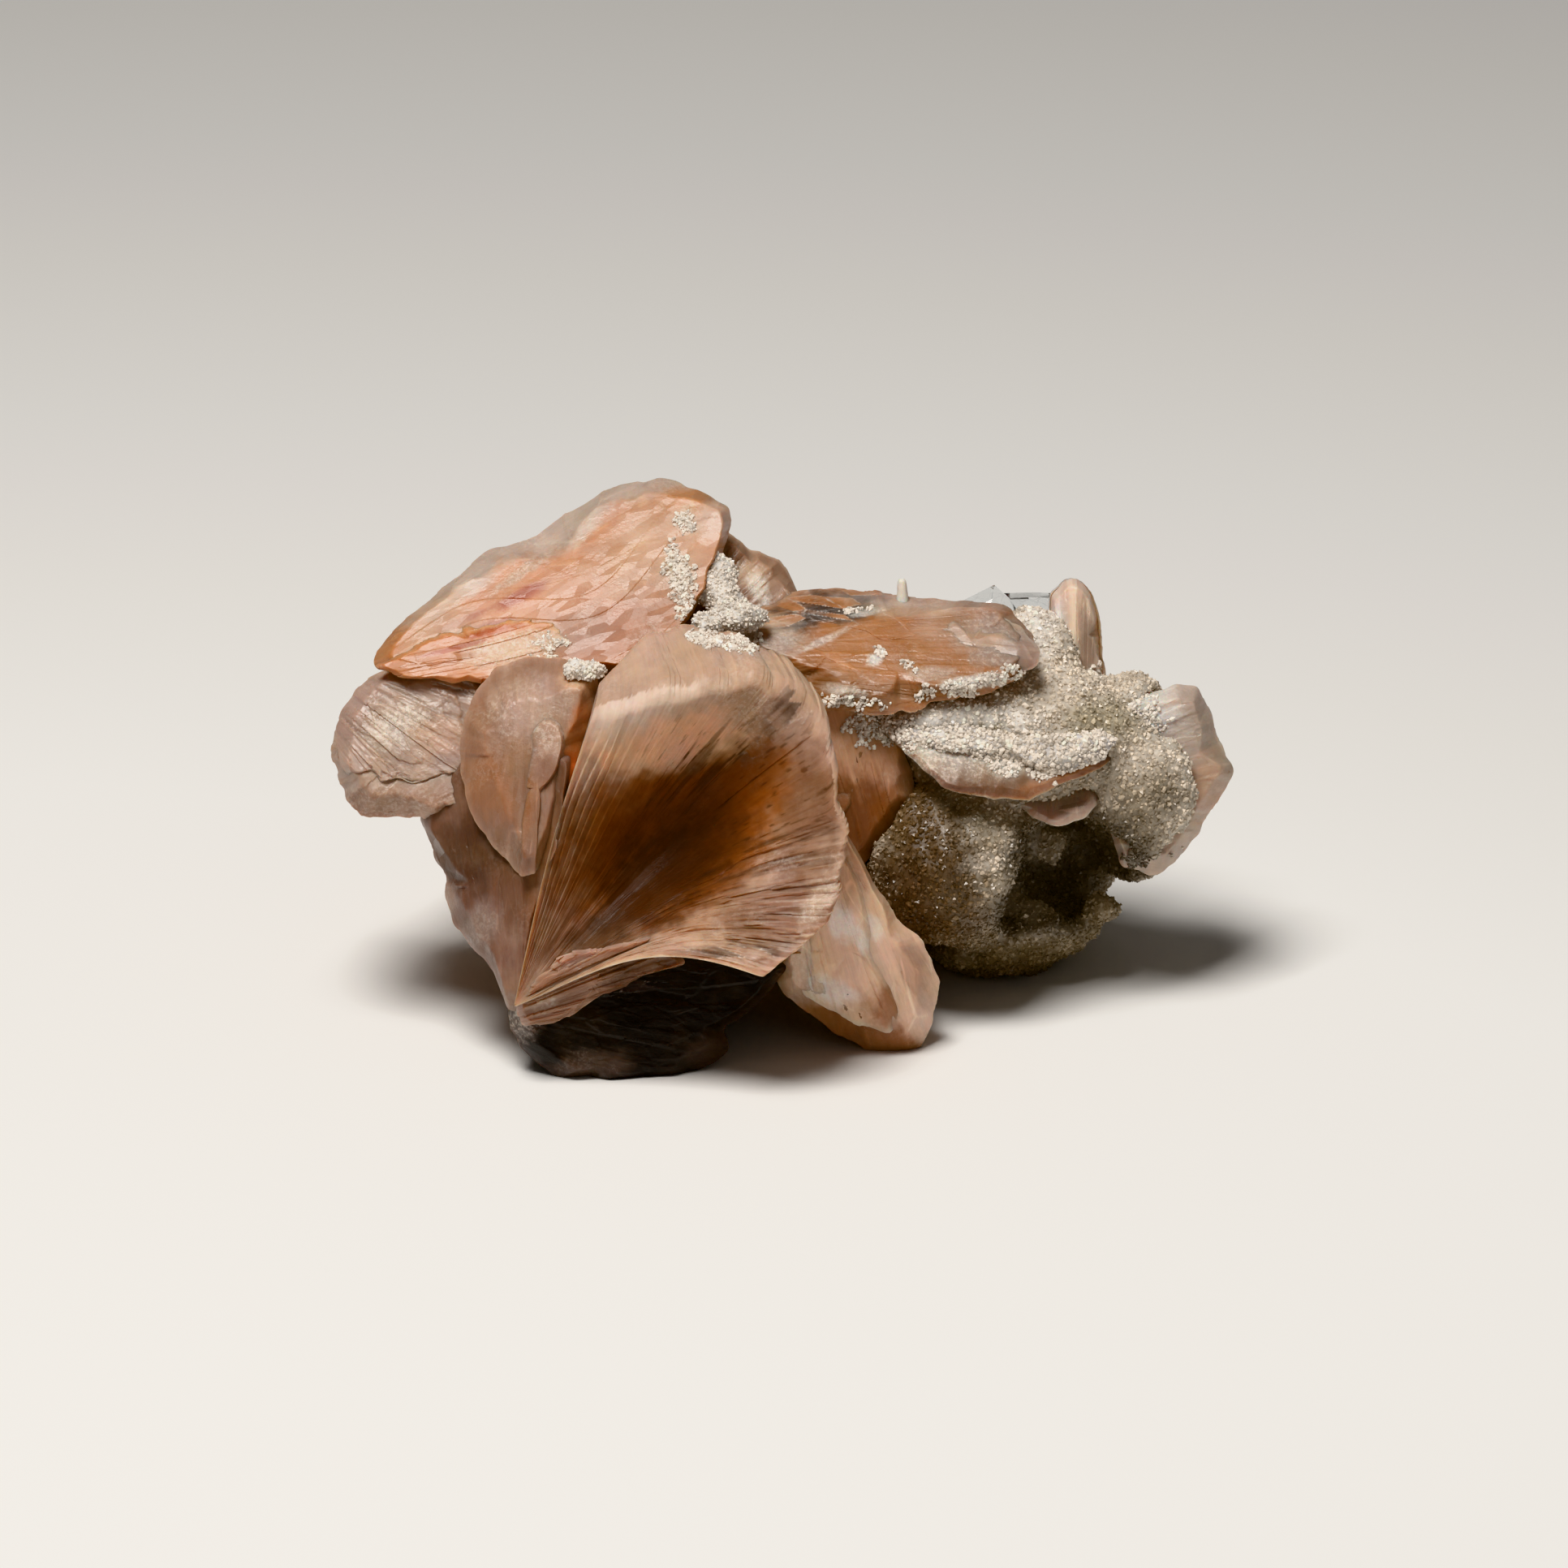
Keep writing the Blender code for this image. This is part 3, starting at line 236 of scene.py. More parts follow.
STANDING_SHEAF = dict(
    outline=[(5.5, 26.6), (7.3, 23.6), (8.3, 21.6), (9.6, 19.8), (11.4, 16.4), (13.6, 14.9), (14.6, 13.0),
             (15.4, 11.0), (15.0, 7.4), (14.1, 4.8), (12.9, 3.3), (9.8, 3.2), (6.2, 5.0), (2.9, 7.3),
             (-0.1, 9.6), (-1.0, 13.0), (-0.4, 20.0), (2.0, 26.0)],
    level=-4.8, lean=(-0.14, 0.34), rise=3.0, back=9.0, root=(-5.0, 50.0), crown=0.74,
    grid=(280, 120), blades=[(3.4, 0.08, 0.25), (1.1, 0.03, 0.4)], open=(90.0, 0.7), light_and_tone=(1.06, 1.04, 1.10),
    flakes=0.08,
    tint="pale_peach", seed=41,
    stains=[("white", (6.4, 14.0), (1.2, 3.4), 24, 0.55), ("white", (9.0, 16.0), (0.9, 1.5), 20, 0.5),
        ("white", (5.0, 8.8), (2.6, 1.2), -20, 0.5), ("tan", (7.6, 5.6), (10, 3.0), -24, 1.0),
        ("silver", (1.6, 11.4), (2.4, 3.6), 10, 0.5), ("rose", (12.8, 12.0), (1.7, 4.0), 20, 0.6),
        ("tan", (6.6, 22.0), (2.0, 3.4), 20, 0.6)])
STANDING_RIDGE = dict(
    outline=[(5.0, 24.6), (7.2, 21.6), (9.0, 16.6), (10.6, 11.6), (11.6, 7.0), (10.4, 5.4), (5.4, 7.4),
             (1.8, 9.6), (1.4, 14.0), (3.2, 20.0)],
    level=-1.9, lean=(-0.12, 0.32), rise=1.4, back=5.0, root=(-5.0, 50.0), crown=0.4,
    grid=(220, 80), blades=[(3.0, 0.08, 0.3), (1.0, 0.03, 0.4)], open=(110.0, 0.8), light_and_tone=(1.08, 1.06, 1.12),
    flakes=0.10,
    tint="pale_peach", seed=43,
    stains=[("white", (5.8, 16.6), (1.5, 2.3), 20, 0.75), ("white", (7.6, 15.0), (0.7, 1.6), 20, 0.6),
            ("white", (4.6, 10.0), (2.4, 1.4), -20, 0.6), ("tan", (6.0, 21.0), (1.4, 3.0), 20, 0.5),
            ("tan", (10.4, 8.2), (2.6, 2.8), 0, 0.95),
            ("white", (6.8, 9.4), (1.2, 0.8), -20, 0.4)])
MIDDLE_BLOCK = dict(
    outline=[(2.0, 39.6), (7.5, 38.4), (10.8, 36.6), (12.1, 33.2), (12.9, 30.6), (13.1, 28.7),
             (11.9, 27.3), (10.4, 25.0), (8.2, 22.6), (5.5, 21.6), (1.0, 24.0), (0.0, 34.0)],
    level=-10.2, lean=(-0.22, 0.06), rise=1.6, back=9.0, root=(-2.0, 62.0), crown=0.80,
    grid=(220, 90), blades=[(4.0, 0.06, 0.2), (1.2, 0.03, 0.3)], open=(120.0, 0.9), light_and_tone=(0.98, 1.02, 1.06),
    flakes=0.2, tint="apricot", seed=47,
    stains=[("dark_amber", (7.0, 27.0), (4.0, 5.0), 0, 0.75), ("rose", (12.2, 31.0), (1.2, 3.4), 0, 0.4),
        ("amber", (10.4, 27.6), (2.4, 3.0), 0, 0.5)])
BOW_SHEAF = dict(
    outline=[(-6.5, 44.4), (-5.7, 46.0), (-2.9, 47.8), (1.5, 49.4), (6.7, 50.0), (9.9, 49.0),
             (17.5, 48.6), (21.6, 48.3), (23.6, 46.6), (25.2, 44.2), (25.4, 42.8), (23.6, 41.0),
             (20.3, 39.4), (14.7, 38.2), (9.1, 37.0), (4.3, 37.6), (-1.0, 41.0)],
    level=-10.4, lean=(0.02, -0.78), rise=2.5, back=9.0, root=(-20.0, 43.0), crown=0.70,
    grid=(360, 140), blades=[(6.0, 0.06, 0.1), (1.6, 0.03, 0.3)], wear=0.45, open=(20.0, 0.5),
    light_and_tone=(0.70, 0.75, 0.79), flakes=0.5,
    tint="deep_peach", seed=53,
    stains=[("slate", (0.2, 46.2), (4.4, 1.9), 14, 0.95), ("slate", (5.6, 48.0), (5.6, 1.9), 3, 0.95),
        ("pale_peach", (-3.0, 44.8), (5.0, 2.4), 0, 0.9), ("white", (8.6, 47.4), (2.0, 0.4), 10, 0.6),
        ("apricot", (18.4, 46.0), (6.5, 2.6), -4, 0.9), ("pale_peach", (12.0, 47.6), (5.0, 1.0), -2, 0.6),
        ("grey_rose", (22.0, 44.6), (4.4, 3.0), 0, 0.9), ("cream", (14.0, 48.4), (9.0, 0.8), -3, 0.45),
        ("rust", (-1.4, 44.4), (3, 0.8), -20, 0.6),
        ("tan", (4.0, 40.0), (8, 1.8), -8, 0.7), ("tan", (12.0, 39.4), (6, 1.4), 4, 0.5),
        ("white", (4.0, 44.6), (3.4, 0.4), 25, 0.4), ("white", (-3.6, 45.6), (1.6, 1.2), 30, 0.8),
        ("white", (14.4, 41.2), (2.6, 0.8), 4, 0.3), ("silver", (-0.6, 44.2), (2.6, 1.6), 10, 0.7),
        ("white", (6.0, 39.4), (2.4, 0.7), -10, 0.5),
        ("white", (9.0, 42.6), (0.9, 0.6), 0, 0.9), ("white", (18.6, 40.4), (4.0, 0.8), 8, 0.7)])
BOW_END = dict(
    outline=[(13.0, 46.6), (17.0, 47.8), (20.8, 47.4), (23.4, 46.0), (25.6, 43.6), (24.8, 41.8), (21.0, 41.0),
             (16.0, 41.6), (12.0, 43.0), (11.4, 45.0)],
    level=-9.2, lean=(0.07, -0.5), rise=1.3, back=5.0, root=(-8.0, 45.0), crown=0.35,
    grid=(180, 70), blades=[(6.0, 0.06, 0.1)], wear=0.3, open=(180.0, 0.2), light_and_tone=(0.74, 0.88, 1.02),
    flakes=0.03, tint="apricot", seed=59,
    stains=[("grey_rose", (23.4, 44.0), (2.4, 2.4), 0, 0.6), ("white", (19.5, 42.6), (3.0, 0.7), 0, 0.5)])
HEART = dict(
    outline=[(-30.0, 38.0), (-25.0, 46.0), (-13.0, 50.0), (0.0, 45.0), (11.0, 42.0), (10.0, 30.0),
             (4.0, 20.0), (-3.0, 13.0), (-12.0, 9.0), (-20.0, 9.0), (-26.0, 15.0), (-29.0, 26.0)],
    level=-17.0, lean=(0.0, -0.05), rise=9.0, back=13.0, root=(-30.0, 30.0), crown=0.84,
    grid=(130, 40), blades=[(5.0, 0.12, 0.2), (2.0, 0.05, 0.3)], flakes=0.3, tint="tan", seed=61, stains=[])
RIGHT_SHEAF = dict(
    outline=[(33.6, 38.6), (37.4, 39.8), (39.4, 40.3), (41.3, 40.1), (42.0, 38.6), (42.7, 37.2),
             (42.8, 36.0), (43.7, 33.8), (44.9, 31.8), (44.0, 29.6), (42.6, 27.5), (41.3, 25.2),
             (39.0, 22.4), (36.6, 21.0), (33.6, 22.0), (31.6, 28.0), (31.4, 34.0)],
    level=-18.0, lean=(-0.30, 0.05), rise=2.6, back=10.0, root=(14.0, 26.0), crown=0.76,
    grid=(260, 100), blades=[(8.0, 0.08, 0.1), (3.0, 0.03, 0.3)], open=(180.0, 0.8), light_and_tone=(1.02, 1.12, 1.2),
    flakes=0.6,
    tint="pearl", seed=67,
    stains=[
        ("white", (36.0, 37.6), (3.6, 2.6), 20, 0.5), ("apricot", (42.0, 30.0), (2.2, 4.0), 0, 0.5),
        ("silver", (39.0, 35.0), (2.6, 2.2), 20, 0.5)])
UPRIGHT_BLADE = dict(
    outline=[(26.5, 49.4), (27.6, 50.6), (28.7, 51.0), (30.0, 50.4), (31.2, 48.6), (31.7, 46.6),
             (31.7, 43.4), (32.2, 41.0), (31.6, 38.0), (28.6, 35.6), (26.4, 38.0), (26.2, 44.0)],
    level=-21.0, lean=(0.0, -0.12), rise=3.2, back=4.4, root=(29.0, -20.0), crown=0.8,
    grid=(170, 70), blades=[(1.2, 0.08, 0.04), (0.5, 0.04, 0.1)], ridge=(29.0, 0.55, 0.95),
    light_and_tone=(1.0, 1.12, 1.3), flakes=0.08, tint="pale_peach", seed=71,
    stains=[("rose", (30.2, 43.0), (0.9, 5.0), 3, 0.7), ("white", (27.4, 46.0), (0.9, 3.0), 0, 0.6),
            ("moss", (29.0, 37.8), (3.0, 1.6), 0, 0.5), ("rose", (28.0, 48.0), (0.6, 2.4), 0, 0.4)])
LEDGE_BLADE = dict(
    outline=[(8.8, 37.6), (10.4, 35.2), (12.3, 33.2), (13.9, 31.6), (15.7, 30.0), (18.6, 29.2),
             (21.4, 28.8), (23.9, 28.7), (26.2, 29.6), (28.6, 30.9), (31.2, 31.8), (32.6, 32.6),
             (32.2, 34.6), (29.8, 36.6), (25.0, 39.0), (19.0, 40.4), (12.5, 40.0)],
    level=-8.2, lean=(-0.22, -0.80), rise=0.9, back=1.3, root=(21.0, 90.0), crown=0.88,
    grid=(260, 80), blades=[(3.0, 0.03, 0.1)], light_and_tone=(0.62, 0.60, 0.58), flakes=0.16, tint="rose_grey",
    seed=73,
    stains=[("silver", (14.0, 33.0), (4.0, 2.4), -30, 0.7), ("white", (20.0, 34.0), (9, 3.2), 0, 0.8),
            ("peach", (27.0, 31.0), (5.0, 0.8), 24, 0.6), ("rose", (20.0, 29.6), (5.0, 0.6), -4, 0.6)])
SHELF_BLADE = dict(
    outline=[(22.8, 28.2), (24.8, 26.9), (27.0, 26.2), (29.6, 26.8), (31.4, 28.6), (30.6, 31.6),
             (26.0, 32.6), (22.6, 31.0)],
    level=-11.4, lean=(-0.1, -0.8), rise=0.7, back=1.2, root=(27.0, 60.0), crown=0.8,
    grid=(160, 50), blades=[(2.0, 0.04, 0.1), (0.7, 0.02, 0.3)], flakes=0.1, tint="silver", seed=79,
    stains=[("slate", (28.6, 28.2), (2.0, 1.0), 20, 0.5)])

REAR_OUTLINE = [(0.0, -0.17), (0.32, -0.28), (0.66, -0.45), (0.88, -0.50), (0.98, -0.38), (1.03, -0.14),
                (1.0, 0.12), (0.94, 0.34), (0.82, 0.50), (0.56, 0.41), (0.28, 0.27), (0.0, 0.17)]
REAR_SHEAVES = [
    dict(at=(-13.0, 38.0, -20.0), heading=(-0.66, 0.02, -0.75), facing=(-0.15, 0.95, 0.1), size=(25, 25, 12)),
    dict(at=(-9.0, 38.0, -22.0), heading=(0.10, 0.30, -0.92), facing=(0.15, 0.9, 0.3), size=(22, 24, 12)),
    dict(at=(-13.0, 30.0, -18.0), heading=(-0.60, -0.26, -0.72), facing=(-0.62, 0.2, 0.5), size=(27, 22, 13)),
    dict(at=(-4.0, 30.0, -20.0), heading=(0.30, 0.0, -0.95), facing=(0.85, 0.45, 0.1), size=(25, 24, 13)),
    dict(at=(-11.7, 26.7, -18.3), heading=(-0.14, -0.36, -0.92), facing=(-0.30, 0.7, -0.3),
         size=(28, 21, 13)),
    dict(at=(2.0, 36.0, -18.0), heading=(0.66, 0.12, -0.74), facing=(0.1, 0.95, 0.1), size=(20, 18, 10)),
    dict(at=(-14.0, 22.0, -12.0), heading=(-0.82, -0.10, -0.52), facing=(-0.4, 0.3, 0.85), size=(20, 17, 10)),
]
REAR_TINTS = ["peach", "rose", "silver", "peach", "tan", "rose", "rose_grey"]

# The hollow fan, as in its solid
FAN_ROOT = (-26.6, 8.4, 4.4)
FAN_BACK_ROOT = (-25.2, 10.0, -3.0)
FAN_FRONT_RIM = [
    (-18.6, 37.6, 6.2), (-15.6, 38.2, 7.4), (-11.8, 38.8, 8.0), (-6.9, 39.8, 8.0), (-2.4, 40.6, 7.4),
    (1.2, 39.6, 6.8), (3.4, 37.0, 6.4), (4.7, 33.6, 6.8), (5.5, 30.4, 7.4), (5.6, 27.6, 7.9),
    (6.5, 26.2, 8.2), (6.4, 22.4, 9.0), (5.9, 19.8, 9.7), (4.4, 16.4, 10.4), (2.0, 14.0, 10.8),
    (-1.4, 11.1, 10.8)]
FAN_REAR_RIM = [
    (-18.2, 40.2, 2.6), (-16.0, 42.6, 1.4), (-13.6, 44.9, 0.0), (-9.9, 46.0, -1.0), (-5.3, 45.0, -0.6),
    (-0.8, 43.6, 0.6), (2.0, 41.5, 1.8), (4.0, 38.0, 2.8), (5.1, 33.6, 3.6), (5.2, 30.0, 4.2),
    (5.4, 27.0, 4.6), (5.4, 23.4, 5.2), (4.9, 21.0, 5.9), (3.4, 18.2, 6.4), (0.9, 16.0, 6.8),
    (-2.4, 13.6, 6.8)]
FAN_HOLLOW = [1.0, 3.4, 5.4, 7.2, 8.4, 8.8, 8.8, 8.4, 7.6, 6.8, 6.0, 4.6, 3.2, 1.8, 0.6, -0.6]
FAN_BOW = [0.6, 0.3, 0.2, 0.4, 0.6, 0.8, 1.0, 1.3, 1.6, 1.9, 2.2, 2.5, 2.8, 3.0, 3.2, 3.4]
FAN_BELLY = 11.0
# The fan's stains are partly painted light and shade: the pale peach and the light colour at the top of the
# bowl are painted light, the tan, amber and umber towards its middle are partly the stone's own colour and
# partly painted shade, and the brown and shade stains at its lower left are painted shade.
FAN_STAINS = [
    ("rose", (-22.0, 17.0), (5, 11), -30, 0.75), ("tan", (-9.0, 26.0), (15, 9.4), 25, 0.9),
    ("amber", (-10.4, 25.4), (12, 7.8), 30, 0.95), ("dark_amber", (-12.6, 24.0), (10.5, 7.0), 40, 0.95),
    ("dark_amber", (-6.0, 28.5), (8, 3.6), 42, 0.8), ("cream", (-13.0, 38.0), (7, 2.4), 15, 0.8),
    ("pale_peach", (-10.6, 34.4), (8.8, 2.8), 12, 0.98), ("cream", (-12.6, 37.0), (7.0, 1.6), 14, 0.7),
    ("cream", (-15.8, 36.8), (3.6, 3.4), 0, 0.7), ("silver", (2.0, 20.0), (5.0, 5.6), -20, 0.45),
    ("grey_rose", (-4.0, 37.6), (8, 2.4), 5, 0.7), ("slate", (1.4, 38.2), (2.6, 2.4), 60, 0.7),
    ("slate", (-2.6, 34.6), (1.4, 3.0), -40, 0.45), ("brown_rose", (2.6, 26.0), (3.6, 9), -8, 0.85),
    ("brown_rose", (0.0, 18.0), (9, 4.4), 12, 0.9), ("slate", (-4.6, 13.6), (8, 1.2), 4, 0.6),
    ("silver", (3.6, 19.0), (1.2, 3.4), -36, 0.5), ("brown_rose", (-18.6, 15.0), (6, 3.0), 25, 0.9),
    ("umber", (-12.6, 20.6), (8.4, 4.6), 35, 0.85), ("shade", (-18.6, 15.2), (5, 2.4), 30, 0.7),
    ("umber", (-8.0, 24.6), (6.0, 5.0), 35, 0.6), ("honey", (-11.0, 34.6), (8.0, 2.8), 12, 0.85),
]

# Where the crust is hollow, its buds, and what colours it, in the same drawing. The hollows and buds only
# guide painting: painted shade in the hollows, kept lighter round the buds as painted light, and the shade
# stains among the colours are painted shade.
GROTTO_HOLLOWS = [
    ((28.6, 21.8, -16.0), (6.9, 5.9, 15.0)), ((23.0, 18.4, -17.0), (4.4, 2.9, 9.0)),
    ((33.6, 20.6, -14.0), (3.6, 3.6, 9.0)),
]
GROTTO_BUDS = [
    ((19.4, 15.4, -19.4), 2.1), ((26.8, 24.0, -25.4), 2.0), ((22.6, 17.8, -24.0), 1.8),
    ((25.2, 17.2, -22.0), 1.9), ((32.0, 18.0, -21.6), 2.1),
]
CRUST_STAINS = [
    ("moss", (16.0, 26.0), (6, 6), 0, 0.4), ("brown_quartz", (14.6, 20.0), (6.5, 9), 0, 0.95),
    ("brown_quartz", (12.6, 28.0), (3, 5), 0, 0.9), ("shade", (12.4, 19.0), (3, 5), 20, 0.5),
    ("quartz", (24.6, 42.0), (7, 4.5), 20, 0.95),
    ("white", (18.0, 36.4), (9, 3.0), -5, 0.95), ("white", (9.8, 37.2), (3.4, 2.4), 0, 1.0),
    ("moss", (20.6, 34.4), (2.6, 1.6), -30, 0.9), ("dim_quartz", (23.0, 12.0), (9, 4), 8, 1.0),
    ("shade", (22.0, 10.4), (9, 2.4), 8, 0.6),
    ("dim_quartz", (32.4, 16.8), (4.4, 3.4), 30, 0.9), ("dim_quartz", (36.0, 29.0), (3.4, 4.6), 0, 0.6),
    ("moss", (31.6, 36.0), (4, 3), 0, 0.5),
    ("white", (25.4, 45.8), (2.6, 3.6), 0, 1.0), ("dim_quartz", (33.6, 25.0), (3.6, 4.0), 0, 0.7),
    ("quartz", (33.8, 33.2), (4, 3.0), 0, 0.4), ("quartz", (20.0, 22.6), (3, 1.2), 10, 0.7),
    ("shade", (15.4, 24.2), (4.6, 5.0), 0, 0.35), ("shade", (19.6, 15.8), (4.0, 2.6), 0, 0.3),
]

# The drift of white quartz on the ledge, in the same drawing
LEDGE_DRIFT = dict(
    outline=[(10.4, 37.2), (12.8, 37.6), (16.0, 37.2), (19.4, 36.9), (22.6, 36.4), (25.6, 35.6), (28.4, 35.2),
             (31.4, 35.6), (33.0, 34.8), (32.2, 33.0), (29.6, 31.9), (28.0, 31.3), (25.2, 31.6), (22.3, 32.5),
             (20.5, 31.7), (18.6, 32.7), (16.0, 33.2), (12.9, 33.8), (10.6, 34.8)],
    level=-7.8, lean=(-0.11, -0.50), rise=1.5, back=3.0, root=(20.0, 60.0), crown=0.6,
    grid=(200, 40), blades=[], wear=0.5, flakes=0.3, tint="white", seed=97, stains=[])

# Where white grains stray from the quartz onto each finished piece, in the same drawing
STRAY_GRAINS = [
    ("upper_sheaf", "stilbite_sheaves", [
        ((-10.2, 50.6), (1.4, 3.6), 10), ((-24.0, 43.2), (2.2, 1.6), 40), ((-9.8, 56.6), (0.9, 1.5), 10)]),
    ("hollow_fan", "stilbite_sheaves", [((-7.0, 44.6), (4.2, 0.8), -12)]),
    ("bow_sheaf", "stilbite_sheaves", [
        ((-4.0, 45.4), (2.0, 1.4), 30), ((18.6, 40.2), (5.0, 0.9), 12), ((12.4, 41.9), (0.8, 0.4), -20),
        ((6.0, 38.4), (3.4, 0.6), -4), ((9.6, 43.4), (0.6, 0.5), 0), ((7.4, 47.6), (1.6, 0.3), 5)]),
    ("left_sheaf", "stilbite_sheaves", [((-30.6, 36.0), (1.4, 3.0), 0)]),
    ("middle_block", "stilbite_sheaves", [((9.4, 36.0), (2.4, 2.0), -20)]),
    ("ledge_blade_bladed", "ledge_blade", [
        ((12.0, 37.0), (3.6, 3.4), -20), ((21.0, 36.8), (11.0, 2.6), -4), ((21.6, 32.6), (1.6, 1.6), 0),
        ((25.6, 31.6), (1.2, 1.4), 0)]),
    ("upright_blade_bladed", "upright_blade", [((27.2, 41.6), (1.2, 4.4), 0), ((31.4, 38.6), (0.9, 4.0), 0)]),
    ("right_sheaf_bladed", "right_sheaf", [
        ((35.2, 36.6), (2.4, 2.4), 10), ((34.6, 31.4), (1.8, 4.6), 0), ((36.0, 26.0), (1.4, 3.6), -20)]),
]

SPUR_BASE = (11.8, 48.0, -13.6)
SPUR_TIP = (11.7, 50.75, -13.2)
SPUR_RADII = (0.66, 0.40)


def linear(name):
    """A named colour as the shaders need it."""
    value = np.array(TINTS[name]) / 255.0
    return STONE_SHADE * np.where(value <= 0.04045, value / 12.92, ((value + 0.055) / 1.055) ** 2.4)


def hash_of(ix, iy, seed):
    """An even random number from 0 to 1 for each whole-number cell."""
    h = ix.astype(np.int64) * 374761393 + iy.astype(np.int64) * 668265263 + seed * 1442695041
    h = (h ^ (h >> 13)) & 0xFFFFFFFF
    h = (h * 1274126177) & 0xFFFFFFFF
    h = (h ^ (h >> 16)) & 0xFFFFFFFF
    return h / 4294967296.0


def ripple(x, y, seed):
    """Smooth noise from -1 to 1, one bump to a unit."""
    ix, iy = np.floor(x), np.floor(y)
    fx, fy = x - ix, y - iy
    fx = fx * fx * (3 - 2 * fx)
    fy = fy * fy * (3 - 2 * fy)
    a, b = hash_of(ix, iy, seed), hash_of(ix + 1, iy, seed)
    c, d = hash_of(ix, iy + 1, seed), hash_of(ix + 1, iy + 1, seed)
    return 2 * ((a + (b - a) * fx) * (1 - fy) + (c + (d - c) * fx) * fy) - 1


def rough(x, y, seed, octaves=4):
    """Smooth noise with finer noise on it."""
    total, share, gain = 0.0, 1.0, 0.0
    for n in range(octaves):
        total = total + share * ripple(x * 2 ** n, y * 2 ** n, seed + 17 * n)
        gain += share
        share *= 0.55
    return total / gain


def ease(low, high, value):
    """Goes smoothly from 0 to 1 between two values."""
    t = np.clip((value - low) / (high - low), 0.0, 1.0)
    return t * t * (3 - 2 * t)


def to_row(points):
    """From the face-up drawing in millimetres to the row frame in metres."""
    turn_cos, turn_sin = math.cos(STANDING_TURN), math.sin(STANDING_TURN)
    out = np.empty_like(points)
    out[:, 0] = points[:, 0] + STAND_AT[0]
    out[:, 1] = points[:, 1] * turn_cos - points[:, 2] * turn_sin + STAND_AT[1]
    out[:, 2] = points[:, 1] * turn_sin + points[:, 2] * turn_cos + STAND_AT[2]
    out[:, 2] = np.maximum(out[:, 2], 0.0)
    return out * MM


def to_drawing(points):
    """From the row frame in metres back to the face-up drawing in millimetres."""
    turn_cos, turn_sin = math.cos(STANDING_TURN), math.sin(STANDING_TURN)
    flat = points / MM - np.array(STAND_AT)
    out = np.empty_like(flat)
    out[:, 0] = flat[:, 0]
    out[:, 1] = flat[:, 1] * turn_cos + flat[:, 2] * turn_sin
    out[:, 2] = flat[:, 2] * turn_cos - flat[:, 1] * turn_sin
    return out


def coloured(mesh, tint):
    """Stores a colour and an amount of frost for each point."""
    layer = mesh.color_attributes.new("tint", "FLOAT_COLOR", "POINT")
    if tint.shape[1] == 3:
        tint = np.concatenate([tint, np.zeros((len(tint), 1))], axis=1)
    layer.data.foreach_set("color", tint.astype(np.float32).ravel())


def piece_from(name, points, faces, fibre, tint):
    """A closed piece from points in the row frame. faces is a list of arrays of corners."""
    corners = np.concatenate([f.reshape(-1) for f in faces]).astype(np.int32)
    sizes = np.concatenate([np.full(len(f), f.shape[1]) for f in faces])
    starts = np.concatenate([[0], np.cumsum(sizes)[:-1]]).astype(np.int32)
    triangles = np.concatenate([f[:, [0, k, k + 1]] for f in faces for k in range(1, f.shape[1] - 1)])
    a, b, c = (points[triangles[:, k]] for k in range(3))
    if np.einsum("ij,ij->i", a, np.cross(b, c)).sum() < 0:
        flipped = [f[:, ::-1] for f in faces]
        corners = np.concatenate([f.reshape(-1) for f in flipped]).astype(np.int32)
    mesh = bpy.data.meshes.new(name)
    mesh.vertices.add(len(points))
    mesh.vertices.foreach_set("co", points.astype(np.float32).ravel())
    mesh.loops.add(len(corners))
    mesh.loops.foreach_set("vertex_index", corners)
    mesh.polygons.add(len(sizes))
    mesh.polygons.foreach_set("loop_start", starts)
    mesh.update(calc_edges=True)
    layer = mesh.uv_layers.new(name="fibre")
    layer.data.foreach_set("uv", fibre[corners].astype(np.float32).ravel())
    coloured(mesh, tint)
    mesh.validate()
    mesh.shade_smooth()
    mesh.set_sharp_from_angle(angle=SHARP_EDGE)
    obj = bpy.data.objects.new(name, mesh)
    bpy.context.scene.collection.objects.link(obj)
    return obj


def even_outline(outline, count, wear, seed):
    """Points spread evenly round an outline, with softened corners and a slightly chipped edge."""
    corners = np.array(outline + outline[:1], float)
    lengths = np.hypot(*np.diff(corners, axis=0).T)
    along = np.concatenate([[0], np.cumsum(lengths)])
    at = np.arange(count) / count * along[-1]
    x, y = np.interp(at, along, corners[:, 0]), np.interp(at, along, corners[:, 1])
    spread = max(1, int(round(0.35 / (along[-1] / count))))
    for _ in range(2):
        x = sum(np.roll(x, k) for k in range(-spread, spread + 1)) / (2 * spread + 1)
        y = sum(np.roll(y, k) for k in range(-spread, spread + 1)) / (2 * spread + 1)
    mid = np.array([x.mean(), y.mean()])
    out_x, out_y = x - mid[0], y - mid[1]
    far = np.hypot(out_x, out_y)
    chips = ripple(at * 0.9, at * 0, seed) * 0.5 + np.round(ripple(at * 0.45, at * 0, seed + 5) * 2) / 2 * 0.5
    chips *= wear * np.minimum(1.0, np.minimum(at, along[-1] - at))
    return x + out_x / far * chips, y + out_y / far * chips


def fibre_angles(crystal, x, y):
    """Angle in degrees and distance from the root of the fibres, with the seam turned away."""
    root_x, root_y = crystal["root"]
    middle = np.mean(crystal["outline"], axis=0)
    away = math.atan2(root_y - middle[1], root_x - middle[0])
    angle = np.arctan2(y - root_y, x - root_x)
    return np.degrees((angle - away) % (2 * math.pi)), np.hypot(x - root_x, y - root_y)


